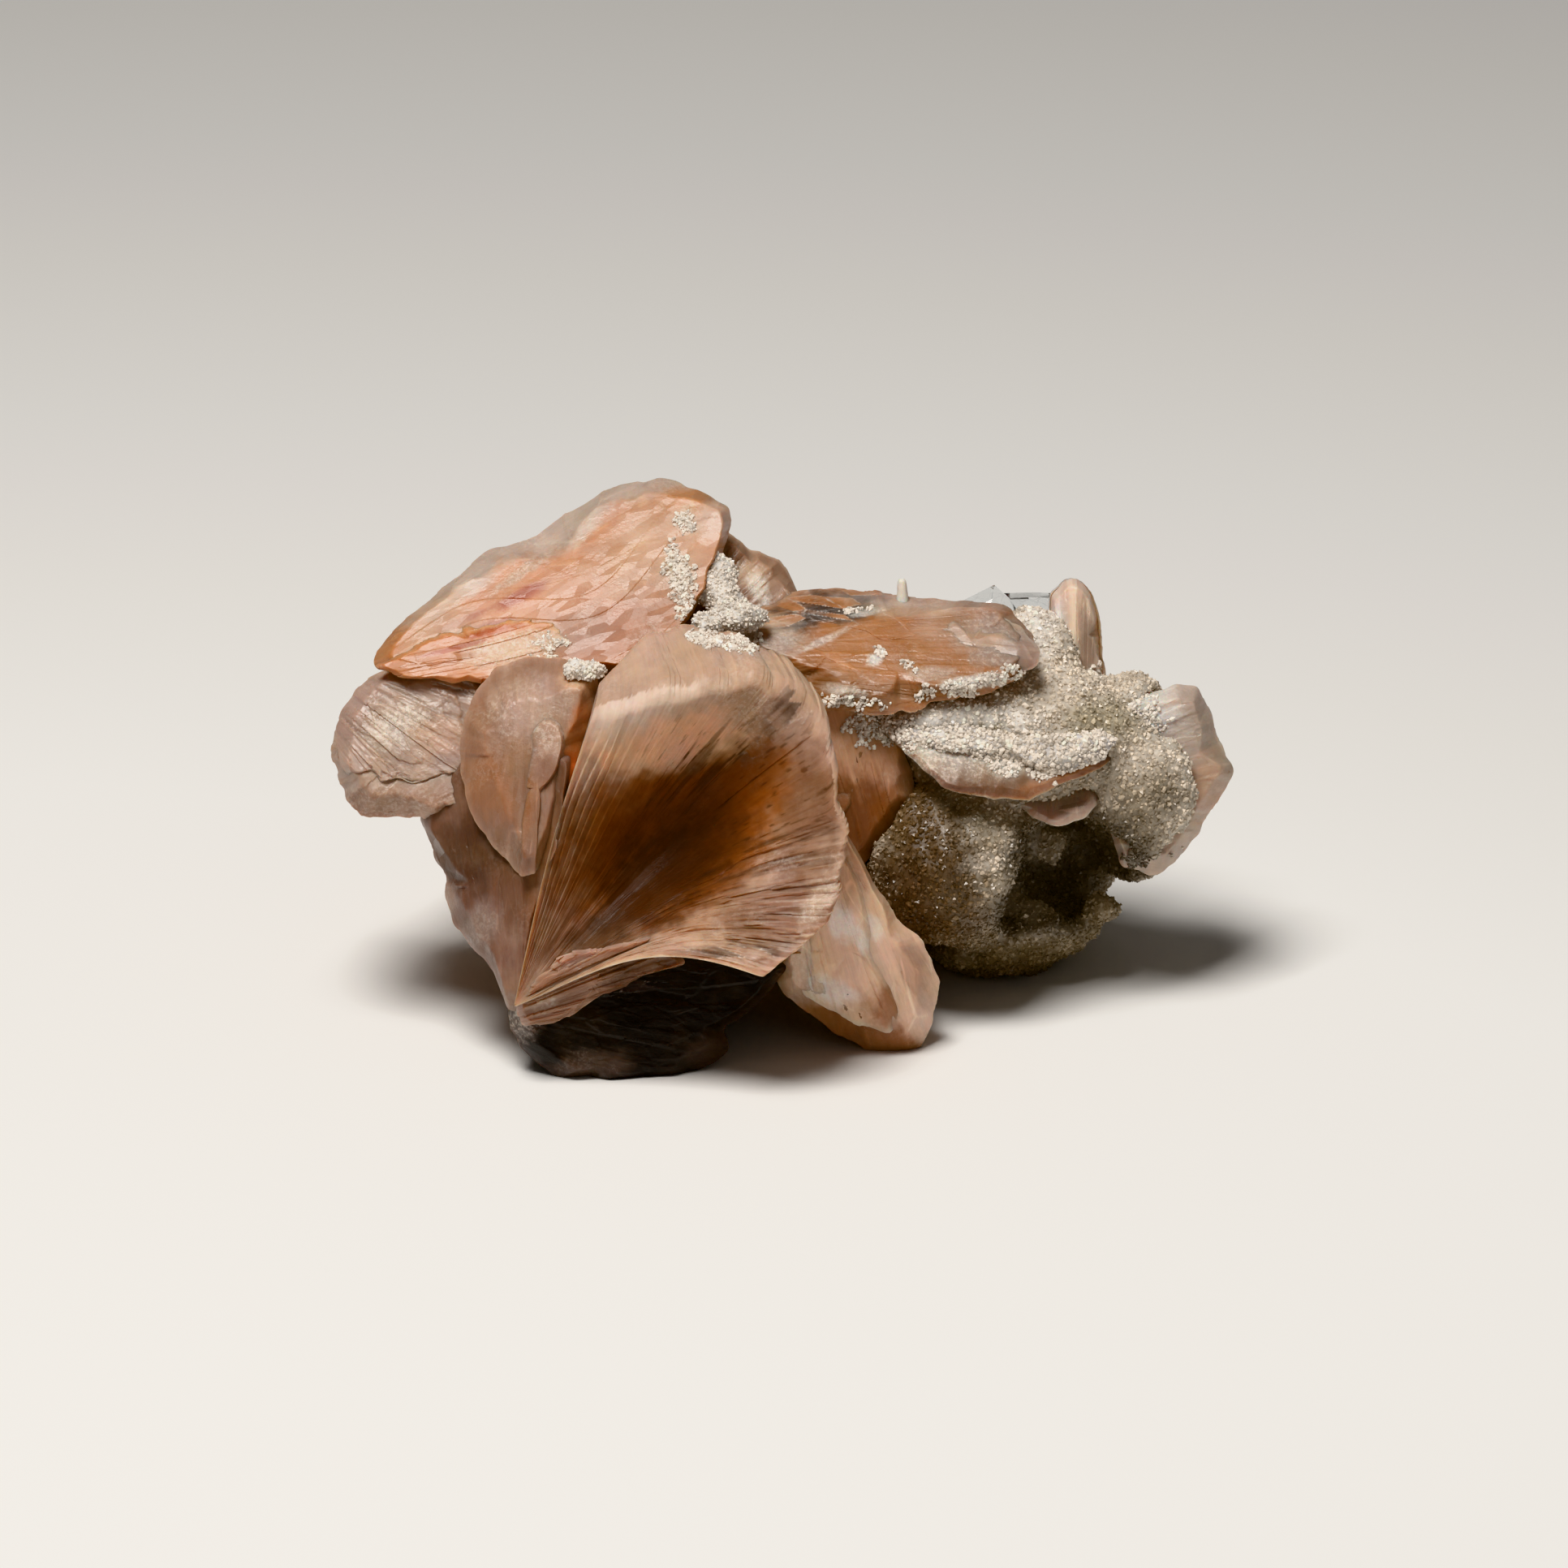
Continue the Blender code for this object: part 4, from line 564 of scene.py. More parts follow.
def reach_table(crystal):
    """How far the outline lies from the root, for each whole degree after the seam."""
    outline = np.array(crystal["outline"] + crystal["outline"][:1])
    steps = []
    for k in range(12):
        steps.append(outline[:-1] + (outline[1:] - outline[:-1]) * k / 12)
    points = np.concatenate(steps)
    angle, reach = fibre_angles(crystal, points[:, 0], points[:, 1])
    table = np.zeros(361)
    np.maximum.at(table, np.round(angle).astype(int), reach)
    known = np.nonzero(table)[0]
    return np.interp(np.arange(361), known, table[known])


def bladed_relief(angle, reach, total, layers, seed):
    """Height of overlapping blades with torn ends."""
    relief = np.zeros_like(angle)
    for number, (width, height, short) in enumerate(layers):
        wander = ripple(angle / width * 0.3, reach * 0.08, seed + 90 + number) * 0.5
        place = angle / width + wander
        cell = np.floor(place)
        inside = place - cell
        split = 0.3 + 0.4 * hash_of(cell, cell * 0, seed + number)
        cell = cell * 2 + (inside > split)
        level = hash_of(cell, cell * 0, seed + 31 + number)
        tilt = (inside - 0.5) * (hash_of(cell, cell * 0, seed + 47 + number) - 0.5)
        ends = 1.0 - short * hash_of(cell, cell * 0, seed + 59 + number) ** 1.5
        ends = ends + 0.03 * ripple(angle / width * 5, angle * 0, seed + 71 + number)
        torn = ease(-0.006, 0.006, reach / total - ends)
        relief += height * ((level - 0.5) * 2 + tilt * 1.2 - torn * 1.3)
    return relief


def cells_at(u, v, seed):
    """The nearest and second nearest cell of a scattered grid: their numbers, and how far each one is."""
    cell_u, cell_v = np.floor(u), np.floor(v)
    nearest = np.full(u.shape, 9.0)
    second = np.full(u.shape, 9.0)
    found = [np.zeros_like(u) for _ in range(4)]
    for du in (-1, 0, 1):
        for dv in (-1, 0, 1):
            at_u, at_v = cell_u + du, cell_v + dv
            from_u = u - at_u - hash_of(at_u, at_v, seed)
            from_v = v - at_v - hash_of(at_u, at_v, seed + 1)
            away = np.hypot(from_u, from_v)
            closer = away < nearest
            second = np.where(closer, nearest, np.minimum(second, away))
            nearest = np.where(closer, away, nearest)
            for k, value in enumerate((at_u, at_v, from_u, from_v)):
                found[k] = np.where(closer, value, found[k])
    return found, second - nearest


def cleaved_plates(x, y, direction, height, seed):
    """Thin plates split along the fibres, each on its own level and tilted: their relief, and their edges,
    where painted glints go.
    """
    along = x * math.cos(direction) + y * math.sin(direction)
    across = y * math.cos(direction) - x * math.sin(direction)
    bend = rough(across * 0.16, along * 0.07, seed + 7, 2)
    relief, edges = 0.0, 0.0
    for number, (long, wide, share) in enumerate(((9.0, 3.2, 0.55), (3.8, 1.3, 0.30), (1.6, 0.55, 0.12))):
        u = along / long + 0.5 * bend + 0.3 * across / wide
        v = across / wide + 0.12 * ripple(along / long * 1.7, across / wide * 0.5, seed + 8 + number)
        (cell_u, cell_v, from_u, from_v), border = cells_at(u, v, seed + 20 * number)
        level = hash_of(cell_u, cell_v, seed + 21 + number) ** 2
        lean_u = hash_of(cell_u, cell_v, seed + 22 + number) - 0.5
        lean_v = hash_of(cell_u, cell_v, seed + 23 + number) - 0.5
        relief = relief + share * (level + 0.9 * lean_u * from_u + 0.9 * lean_v * from_v)
        edges = edges + share * level * ease(0.10, 0.02, border)
    swell = rough(across * 0.11, along * 0.07, seed + 12, 2)
    return height * (relief * 0.5 + swell * 0.4), np.clip(edges * 1.6, 0, 1)


def in_spot(x, y, middle, half, turn):
    """Where points lie in a turned oval, as shares of its two half widths."""
    turn = math.radians(turn)
    dx, dy = x - middle[0], y - middle[1]
    across = (dx * math.cos(turn) + dy * math.sin(turn)) / half[0]
    return across, (-dx * math.sin(turn) + dy * math.cos(turn)) / half[1]


def stained(colour, stains, x, y, angle, reach, seed):
    """Lays each stain, or patch of painted light or shade, over the colour, with edges that follow the
    fibres, and frost where it is white.
    """
    if colour.shape[1] == 3:
        colour = np.concatenate([colour, np.zeros((len(colour), 1))], axis=1)
    for number, (tint, middle, half, turn, strength) in enumerate(stains):
        across, up = in_spot(x, y, middle, half, turn)
        edge = 0.30 * rough(angle * 0.7, reach * 0.25, seed + 7 * number, 3)
        edge = edge + 0.22 * rough(x * 1.3, y * 1.3, seed + 7 * number + 3, 3)
        amount = strength * ease(1.25, 0.45, np.hypot(across, up) + edge)
        if tint == "slate":
            (cell_x, cell_y, _, _), border = cells_at(
                across * half[0] / 2.6 + up * 1.6, up * half[1] / 1.1, seed + 30)
            border = border + 0.08 * ripple(x * 1.7, y * 1.7, seed + 33)
            rims = (amount * 0.45 * ease(0.10, 0.02, border))[:, None]
            colour = colour + (np.array([*linear("white"), 0.8]) - colour) * rims
            amount = amount * ease(0.30, 0.45, hash_of(cell_x, cell_y, seed + 31))
        frost = FROSTED.get(tint, 0.0)
        goal = np.array([*linear(tint), frost])
        colour = colour + (goal - colour) * amount[:, None]
    return colour


def weathered(colour, x, y, angle, reach, seed):
    """Large clouds and fine streaks of lighter and darker stone."""
    cloud = rough(x * 0.16, y * 0.16, seed + 5, 3)
    streak = rough(angle * 2.6, reach * 0.10, seed + 6, 3)
    value = 1.0 + 0.18 * cloud + 0.05 * streak
    warm = 1.0 + 0.10 * rough(x * 0.3, y * 0.3, seed + 8, 2)
    out = colour.copy()
    out[:, :3] *= value[:, None]
    out[:, 2] *= warm
    light = np.clip(out[:, :3].mean(axis=1) * 3.0, 0, 1)
    out[:, 3] = np.clip(out[:, 3] + (0.03 + 0.28 * rough(x * 0.35, y * 0.35, seed + 15, 3)) * light, 0, 1)
    return np.clip(out, 0.0, 1.0)


def turned_back(at, heading, facing):
    """The matrix of a rear sheaf's own drawing in the main one."""
    x_axis = Vector(heading).normalized()
    z_axis = Vector(facing)
    z_axis = (z_axis - x_axis * z_axis.dot(x_axis)).normalized()
    y_axis = z_axis.cross(x_axis)
    return np.array(Matrix((x_axis, y_axis, z_axis)).transposed()), np.array(at, float)


def crystal_piece(name, crystal, place=None):
    """One sheaf: a bladed face inside a bevel, striped sides and a split back."""
    around, rows = crystal["grid"]
    seed = crystal["seed"]
    rim_x, rim_y = even_outline(crystal["outline"], around, crystal.get("wear", 0.3), seed)
    mid_x, mid_y = np.mean(crystal["outline"], axis=0)
    across, up = crystal["lean"]
    crown, rise, back = crystal["crown"], crystal["rise"], crystal["back"]

    shares = 1 - (1 - np.linspace(0, 1, rows + 1)[1:]) ** 1.15
    way = np.degrees(np.arctan2(rim_y - mid_y, rim_x - mid_x))
    open_way, open_share = crystal.get("open", (0.0, 0.0))
    far = np.hypot(rim_y - mid_y, rim_x - mid_x)
    widths = (1 - crown) * far.mean() / far * (1 + 0.35 * ripple(way / 26.0, way * 0, seed + 18))
    widths = np.minimum(widths, 0.9)
    widths *= 1 - open_share * (0.5 + 0.5 * np.cos(np.radians(way - open_way))) ** 2
    lifts = (1 - shares)[:, None] / widths[None, :]
    lifts = rise * (1 - np.log1p(np.exp((1 - lifts) * BEVEL_SHARPNESS)) / BEVEL_SHARPNESS)
    lifts = np.maximum(lifts, 0) + 0.12 * rise * np.clip(1 - shares / crown, 0, 1)[:, None]
    lifts[-1] = 0.0
    side = np.arange(1, SIDE_ROWS + 1) / SIDE_ROWS
    behind = np.arange(1, BACK_ROWS) / BACK_ROWS
    ring_share = np.concatenate([shares, 1 - (1 - REAR_SHARE) * side, REAR_SHARE * (1 - behind)])
    below = np.concatenate([-back * side, np.full(BACK_ROWS - 1, -back)])
    lift = np.concatenate([lifts, np.repeat(below[:, None], around, axis=1)])
    is_front = np.concatenate([np.ones(rows), np.zeros(SIDE_ROWS + BACK_ROWS - 1)])

    x = mid_x + (rim_x[None, :] - mid_x) * ring_share[:, None]
    y = mid_y + (rim_y[None, :] - mid_y) * ring_share[:, None]
    front = np.repeat(is_front[:, None], around, axis=1)
    share = np.repeat(ring_share[:, None], around, axis=1)

    depth = -np.minimum(lift, 0)
    plates = ripple(depth * 1.7, x * 0.25 + y * 0.25, seed + 2) * 0.16
    plates = plates + np.round(ripple(depth * 0.8, x * 0.1 - y * 0.1, seed + 4) * 2) * 0.10
    plates = plates * (1 - front) * np.minimum(1, depth)
    out = np.hypot(x - mid_x, y - mid_y) + 1e-6
    x = x + (x - mid_x) / out * plates
    y = y + (y - mid_y) / out * plates

    if "ridge" in crystal:
        ridge_x, left_slope, right_slope = crystal["ridge"]
        beside = x - ridge_x - 0.03 * (y - mid_y)
        slope = np.where(beside < 0, -beside * left_slope, beside * right_slope)
        lift = lift - front * np.minimum(9.0, slope)

    x = np.concatenate([x.ravel(), [mid_x, mid_x]])
    y = np.concatenate([y.ravel(), [mid_y, mid_y]])
    lift = np.concatenate([lift.ravel(), [rise * 1.12, -back]])
    front = np.concatenate([front.ravel(), [1.0, 0.0]])
    share = np.concatenate([share.ravel(), [0.0, 0.0]])

    angle, reach = fibre_angles(crystal, x, y)
    total = np.interp(angle, np.arange(361), reach_table(crystal))
    relief = bladed_relief(angle, reach, total, crystal["blades"], seed)
    direction = math.atan2(mid_y - crystal["root"][1], mid_x - crystal["root"][0])
    steps, edges = cleaved_plates(x, y, direction, crystal["flakes"], seed)
    relief += steps
    relief = relief * front * (0.25 + 0.75 * ease(1.0, 0.93, share))
    rear_steps, _ = cleaved_plates(x, y, direction + 0.6, min(1.0, back * 0.12), seed + 50)
    flat_back = (1 - front) * ease(-back * 0.96, -back, np.where(front > 0, 0.0, lift))
    relief += rear_steps * flat_back * ease(REAR_SHARE, REAR_SHARE * 0.8, share)
    z = crystal["level"] + across * (x - mid_x) + up * (y - mid_y) + lift + relief
    points = np.stack([x, y, z], axis=1)

    colour = np.tile(linear(crystal["tint"]), (len(x), 1))
    colour += (linear("silver") - colour) * (0.3 * front * ease(0.90, 1.0, share))[:, None]
    colour = stained(colour, crystal["stains"], x, y, angle, reach, seed)
    colour = weathered(colour, x, y, angle, reach, seed)
    # Painted glints: here and there the plate edges are lightened as if they caught the light.
    painted_glint = (0.5 * edges * front * ease(0.0, 0.5, rough(x * 0.5, y * 0.5, seed + 16, 2)))[:, None]
    colour += (np.minimum(colour * 1.8 + 0.02, 1.0) - colour) * painted_glint
    # The tone factor: partly the stone's own tone, partly painted light and shade that makes the whole piece
    # lighter or darker for how light falls on it.
    colour[:, :3] *= crystal.get("light_and_tone", NO_LIGHT_OR_TONE)

    if place is not None:
        turn, at = place
        points = points @ turn.T + at
    number = np.arange(len(ring_share) * around).reshape(len(ring_share), around)
    following = np.roll(number, -1, axis=1)
    quads = np.stack([number[:-1], following[:-1], following[1:], number[1:]], axis=-1).reshape(-1, 4)
    top, bottom = number.size, number.size + 1
    cap = np.stack([np.full(around, top), following[0], number[0]], axis=1)
    base = np.stack([np.full(around, bottom), number[-1], following[-1]], axis=1)
    middle_reach = np.median(reach)
    fibre = np.stack([np.radians(angle) * middle_reach, reach + depth_of(lift)], axis=1)
    return piece_from(name, to_row(points), [quads, cap, base], fibre, colour)


def depth_of(lift):
    """How far a point has sunk down a side, for the pattern on it."""
    return -np.minimum(lift, 0) * 0.6


def fan_rays(count):
    """The fan's rims, hollow and bow, spread evenly over that many rays."""
    rim = np.array(FAN_FRONT_RIM)
    steps = np.concatenate([[0], np.cumsum(np.hypot(*np.diff(rim[:, :2], axis=0).T))])
    at = np.linspace(0, steps[-1], count)

    def spread(values):
        values = np.array(values, float)
        columns = values.reshape(len(values), -1)
        out = np.stack([np.interp(at, steps, column) for column in columns.T], axis=1)
        for _ in range(2):
            padded = np.concatenate([out[:1]] * 4 + [out] + [out[-1:]] * 4)
            smooth = sum(padded[k:k + count] for k in range(9)) / 9
            smooth[0], smooth[-1] = out[0], out[-1]
            out = smooth
        return out

    return at, spread(FAN_FRONT_RIM), spread(FAN_REAR_RIM), spread(FAN_HOLLOW)[:, 0], spread(FAN_BOW)[:, 0]


def rounded_lip(front, cap):
    """Softens the turn from the bowl to its rim, in both grids, over about two millimetres."""
    strip = np.concatenate([front[-LIP_ROWS:], cap[1:]])
    lengths = np.linalg.norm(np.diff(strip, axis=0), axis=2)
    along = np.concatenate([[np.zeros(strip.shape[1])], np.cumsum(lengths, 0)])
    from_lip = np.abs(along - along[LIP_ROWS - 1])
    weight = (0.5 * ease(2.2, 0.3, from_lip))[1:-1, :, None]
    for _ in range(LIP_ROUNDS):
        strip[1:-1] += weight * ((strip[:-2] + strip[2:]) / 2 - strip[1:-1])
    front[-LIP_ROWS:], cap[:] = strip[:LIP_ROWS], strip[LIP_ROWS - 1:]


def fan_piece():
    """The hollow fan: stepped lamellae at its left, a stained bowl lightened at its top by painted light and
    darkened towards its middle by painted shade, ruffles at its lower right with painted sheen streaks.
    """
    rays, stations, rim_rows, back_stations = FAN_RAYS, FAN_STATIONS, FAN_RIM_ROWS, FAN_BACK_STATIONS
    seed = 101
    at, rim, rear, hollow, bow = fan_rays(rays)
    root, back_root = np.array(FAN_ROOT), np.array(FAN_BACK_ROOT)

    def skin(shares, start, ends, dip):
        bend = np.sin(math.pi * shares ** 1.15)[:, None]
        reach = (0.004 + 0.996 * shares)[:, None, None]
        along = rim - root
        sideways = np.stack([-along[:, 1], along[:, 0], along[:, 0] * 0], axis=1)
        sideways /= np.linalg.norm(sideways, axis=1)[:, None]
        aside = sideways[None] * (bow[None, :, None] * bend[:, :, None])
        points = start + (ends - start)[None] * reach + aside
        points[:, :, 2] -= dip[None, :] * bend
        return points

    shares = np.linspace(0, 1, stations) ** 0.85
    chips = np.round(ripple(at * 0.42, at * 0, seed + 3) * 2.2) / 2.2 * 0.9
    chips = chips + ripple(at * 1.3, at * 0, seed) * 0.25
    chips = chips * ease(0, 4, at) * ease(at[-1], at[-1] - 3, at) * 0.012
    ends = rim + (rim - root) * chips[:, None]
    rear_ends = rear + (rim - root) * chips[:, None]
    front = skin(shares, root, ends, hollow)
    behind = skin(np.linspace(0, 1, back_stations), back_root, rear_ends, np.full(rays, FAN_BELLY))

    u = np.repeat(at[None, :], stations, axis=0)
    v = shares[:, None] * np.linalg.norm(rim - root, axis=1)[None, :]
    part = u / at[-1]
    s = np.repeat(shares[:, None], rays, axis=1)
    left = ease(0.20, 0.02, part)
    right = ease(0.52, 0.74, part)
    calm = (1 - left) * (1 - right)
    spread = 0.25 + 0.75 * s
    lamella = u * 0.8 + ripple(u * 0.4, v * 0.10, seed + 11) * 0.6
    stair = np.floor(lamella) + ease(0.78, 1.0, lamella - np.floor(lamella)) - lamella
    relief = left * stair * 0.8 * spread * ease(0.98, 0.66, s)
    ruffle = rough(u * 0.30 + ripple(u * 0.1, v * 0.10, seed + 12) * 0.8, v * 0.06, seed + 13, 4)
    fold = rough(u * 1.1 + ripple(u * 0.3, v * 0.22, seed + 20) * 0.7, v * 0.10, seed + 14, 3)
    relief += right * (ruffle * 0.8 + (1 - np.abs(fold) * 3.0) * 0.22) * spread
    width = 1.9
    cell = np.floor(u / width + ripple(u * 0.1, v * 0.06, seed + 15) * 0.4)
    ends_at = 0.62 + 0.38 * hash_of(cell, cell * 0, seed + 16) + 0.05 * ripple(u * 1.6, v * 0.0, seed + 17)
    relief -= (right * 0.22 + calm * 0.08) * ease(-0.012, 0.012, s - ends_at) * ease(1.0, 0.97, s)
    flakes = np.floor(rough(u * 0.30, v * 0.16, seed + 18, 4) * 6) / 6
    relief += flakes * (0.06 * calm + 0.20 * right + 0.16 * left)
    relief += rough(u * 2.2, v * 0.12, seed + 19, 3) * (0.02 * calm + 0.08 * right + 0.05 * left)
    relief *= ease(0.0, 0.08, s) * (0.35 + 0.65 * ease(1.0, 0.96, s))
    edge = ease(0, 0.012, part) * ease(1.0, 0.988, part)
    front[:, :, 2] += relief * edge

    grids, fibres, sides = [front], [np.stack([u, v], axis=-1)], [1]
    blend_rows = np.linspace(0, 1, rim_rows)[:, None, None]
    cap = front[-1][None] + (behind[-1] - front[-1])[None] * blend_rows
    across = np.linalg.norm(behind[-1] - front[-1], axis=1)
    cap_u = np.repeat(at[None, :], rim_rows, axis=0)
    cap_v = v[-1][None] + blend_rows[:, :, 0] * across[None]
    bump = np.sin(math.pi * blend_rows[:, :, 0])
    step = np.floor(rough(cap_u * 0.25, cap_v * 0.5, seed + 23, 3) * 4) / 4 * 0.28
    outward = (rim - root) / np.linalg.norm(rim - root, axis=1)[:, None]
    cap += outward[None] * ((step + 0.35) * bump * edge[-1][None])[:, :, None]
    rounded_lip(front, cap)
    grids.append(cap)
    fibres.append(np.stack([cap_u, cap_v], axis=-1))
    sides.append(1)
    back_u = np.repeat(at[None, :], back_stations, axis=0)
    back_v = np.linspace(0, 1, back_stations)[:, None] * v[-1][None]
    inner = np.sin(math.pi * np.linspace(0, 1, back_stations))[:, None] * edge[-1][None]
    behind[:, :, 2] -= rough(back_u * 0.5, back_v * 0.08, seed + 25, 3) * 0.5 * inner
    grids.append(behind)
    fibres.append(np.stack([back_u, back_v], axis=-1))
    sides.append(-1)
    start = np.stack([front[0], behind[0]])
    grids.append(start)
    fibres.append(np.stack([np.stack([at, at * 0], axis=-1)] * 2))
    sides.append(-1)

    points, fibre, faces, base = [], [], [], 0
    for grid, coords, side in zip(grids, fibres, sides):
        n, m = grid.shape[:2]
        number = base + np.arange(n * m).reshape(n, m)
        quad = np.stack([number[:-1, :-1], number[:-1, 1:], number[1:, 1:], number[1:, :-1]], axis=-1)
        quad = quad.reshape(-1, 4)
        faces.append(quad if side > 0 else quad[:, ::-1])
        points.append(grid.reshape(-1, 3))
        fibre.append(coords.reshape(-1, 2))
        base += n * m
    starts = np.cumsum([0] + [len(p) for p in points])
    for column in (0, rays - 1):
        front_line = starts[0] + np.arange(stations) * rays + column
        back_line = starts[2] + np.arange(back_stations) * rays + column
        nearest = np.round(np.linspace(0, back_stations - 1, stations)).astype(int)
        strips = []
        for k in range(stations - 1):
            a, b = front_line[k], front_line[k + 1]
            c, d = back_line[nearest[k]], back_line[nearest[k + 1]]
            strips.append((a, b, d))
            if c != d:
                strips.append((a, d, c))
        strips = np.array(strips)
        faces.append(strips if column == 0 else strips[:, ::-1])
    points, fibre = np.concatenate(points), np.concatenate(fibre)

    x, y = points[:, 0], points[:, 1]
    angle, reach = fibre[:, 0] * 0.75, fibre[:, 1]
    colour = np.tile(linear("grey_rose") * 1.12, (len(x), 1))
    on_cap = np.zeros(len(x), bool)
    on_cap[starts[1]:starts[2]] = True
    painted = stained(colour, FAN_STAINS, x, y, angle, reach, seed)
    # Darkens the middle of the bowl towards umber: streaks and flecks along the fibres of the stone, gathered
    # in the bowl as painted shade.
    bowl_shade_region = np.clip(1.3 - np.hypot((x + 4.5) / 11.0, (y - 29.0) / 10.0), 0, 1)
    dark = ease(0.16, 0.42, rough(fibre[:, 0] * 0.95, reach * 0.10, seed + 41, 3))
    fleck = ease(0.42, 0.6, rough(fibre[:, 0] * 3.2, reach * 0.7, seed + 43, 2))
    amount = np.clip(bowl_shade_region * (dark * 0.75 + fleck * 0.7), 0, 0.85)
    painted[:, :3] += (linear("umber") - painted[:, :3]) * amount[:, None]
    # Painted sheen: pale streaks along the fibres of the ruffles at the lower right, standing in for their
    # pearly highlights.
    sheen_region = np.clip(1.35 - np.hypot((x - 3.0) / 7.0, (y - 18.0) / 7.5), 0, 1)
    painted_sheen_streak = ease(0.05, 0.5, rough(fibre[:, 0] * 1.9, reach * 0.16, seed + 45, 3)) * sheen_region * 0.2
    painted += (np.array([*linear("white"), 0.8]) - painted) * painted_sheen_streak[:, None]
    rim_colour = stained(colour, FAN_STAINS[:1], x, y, angle, reach, seed)
    colour = np.where(on_cap[:, None], rim_colour, painted)
    colour = weathered(colour, x, y, angle, reach, seed)
    obj = piece_from("hollow_fan", to_row(points), faces, fibre, colour)
    weld(obj)
    return obj


def weld(obj):
    """Joins the grids that a piece was made from, and points its faces outwards."""
    bm = bmesh.new()
    bm.from_mesh(obj.data)
    bmesh.ops.remove_doubles(bm, verts=bm.verts, dist=MERGE_REACH)
    bmesh.ops.recalc_face_normals(bm, faces=bm.faces)
    bm.to_mesh(obj.data)
    bm.free()


def spur_piece():
    """The little frosty finger, turned round its axis and rounded at its tip."""
    base, tip = np.array(SPUR_BASE), np.array(SPUR_TIP)
    length = np.linalg.norm(tip - base)
    sides, rows = 40, 46
    up = (tip - base) / length
    side = np.cross(up, (0.0, 0.0, 1.0))
    side /= np.linalg.norm(side)
    other = np.cross(up, side)
    share = np.linspace(0, 1, rows)
    radius = SPUR_RADII[0] + (SPUR_RADII[1] - SPUR_RADII[0]) * share
    end = np.clip((length - share * length) / SPUR_RADII[1], 0.0001, 1)
    radius = radius * np.sqrt(1 - (1 - end) ** 2)
    turn = np.arange(sides) / sides * 2 * math.pi
    bumps = 1 + 0.07 * rough(np.repeat(turn[None] * 1.6, rows, 0), share[:, None] * length * 2, 5, 3)
    ring = np.cos(turn)[None, :, None] * side + np.sin(turn)[None, :, None] * other
    points = base + up * (share * length)[:, None, None] + ring * (radius[:, None] * bumps)[:, :, None]
    points = np.concatenate([points.reshape(-1, 3), [base, tip]])
    number = np.arange(rows * sides).reshape(rows, sides)
    following = np.roll(number, -1, axis=1)
    quads = np.stack([number[:-1], following[:-1], following[1:], number[1:]], axis=-1).reshape(-1, 4)
    low, high = number.size, number.size + 1
    caps = [np.stack([np.full(sides, low), number[0], following[0]], 1)[:, ::-1],
            np.stack([np.full(sides, high), following[-1], number[-1]], 1)[:, ::-1]]
    fibre = points[:, :2] * 3
    tint = np.tile(linear("white"), (len(points), 1))
    return piece_from("frosty_spur", to_row(points), [quads, *caps], fibre, tint)


def new_material(name):
    """A material, its nodes and its shader."""
    material = bpy.data.materials.new(name)
    material.use_nodes = True
    tree = material.node_tree
    return material, tree, tree.nodes["Principled BSDF"]


def painted(tree):
    """The node that reads the colour and the frost painted on a piece."""
    tint = tree.nodes.new("ShaderNodeAttribute")
    tint.attribute_name = "tint"
    return tint


def math_node(tree, operation, first, second=None):
    """A sum or product of two numbers or outputs."""
    node = tree.nodes.new("ShaderNodeMath")
    node.operation = operation
    for number, value in enumerate((first, second)):
        if value is None:
            continue
        if isinstance(value, (int, float)):
            node.inputs[number].default_value = value
        else:
            tree.links.new(value, node.inputs[number])
    return node.outputs[0]


def vector_node(tree, operation, first, second=None, output=0):
    """The same for vectors."""
    node = tree.nodes.new("ShaderNodeVectorMath")
    node.operation = operation
    for number, value in enumerate((first, second)):
        if value is None:
            continue
        if isinstance(value, tuple):
            node.inputs[number].default_value = value
        else:
            tree.links.new(value, node.inputs[number])
    return node.outputs[output]


def noise_node(tree, vector, scale, detail=2.0, roughness=0.5):
    """Smooth noise from 0 to 1."""
    node = tree.nodes.new("ShaderNodeTexNoise")
    node.inputs["Scale"].default_value = scale
    node.inputs["Detail"].default_value = detail
    node.inputs["Roughness"].default_value = roughness
    tree.links.new(vector, node.inputs["Vector"])
    return node.outputs["Fac"]


def ranged(tree, value, low, high, new_low, new_high):
    """Maps one range of numbers to another, and stops at its ends."""
    node = tree.nodes.new("ShaderNodeMapRange")
    node.inputs["From Min"].default_value = low
    node.inputs["From Max"].default_value = high
    node.inputs["To Min"].default_value = new_low
    node.inputs["To Max"].default_value = new_high
    tree.links.new(value, node.inputs["Value"])
    return node.outputs["Result"]


def bump_node(tree, height, strength, distance, normal=None):
    """Turns a height into a bent normal, on top of another one."""
    node = tree.nodes.new("ShaderNodeBump")
    node.inputs["Strength"].default_value = strength
    node.inputs["Distance"].default_value = distance
    tree.links.new(height, node.inputs["Height"])
    if normal is not None:
        tree.links.new(normal, node.inputs["Normal"])
    return node.outputs["Normal"]


def facet_height(tree, position, cells_per_metre, slope):
    """Height of small flat facets, each tilted its own way."""
    cells = tree.nodes.new("ShaderNodeTexVoronoi")
    cells.inputs["Scale"].default_value = cells_per_metre
    tree.links.new(position, cells.inputs["Vector"])
    tilt = vector_node(tree, "SUBTRACT", cells.outputs["Color"], (0.5, 0.5, 0.5))
    offset = vector_node(tree, "SUBTRACT", position, cells.outputs["Position"])
    height = vector_node(tree, "DOT_PRODUCT", tilt, offset, output=1)
    return math_node(tree, "MULTIPLY", height, slope), cells.outputs["Color"]


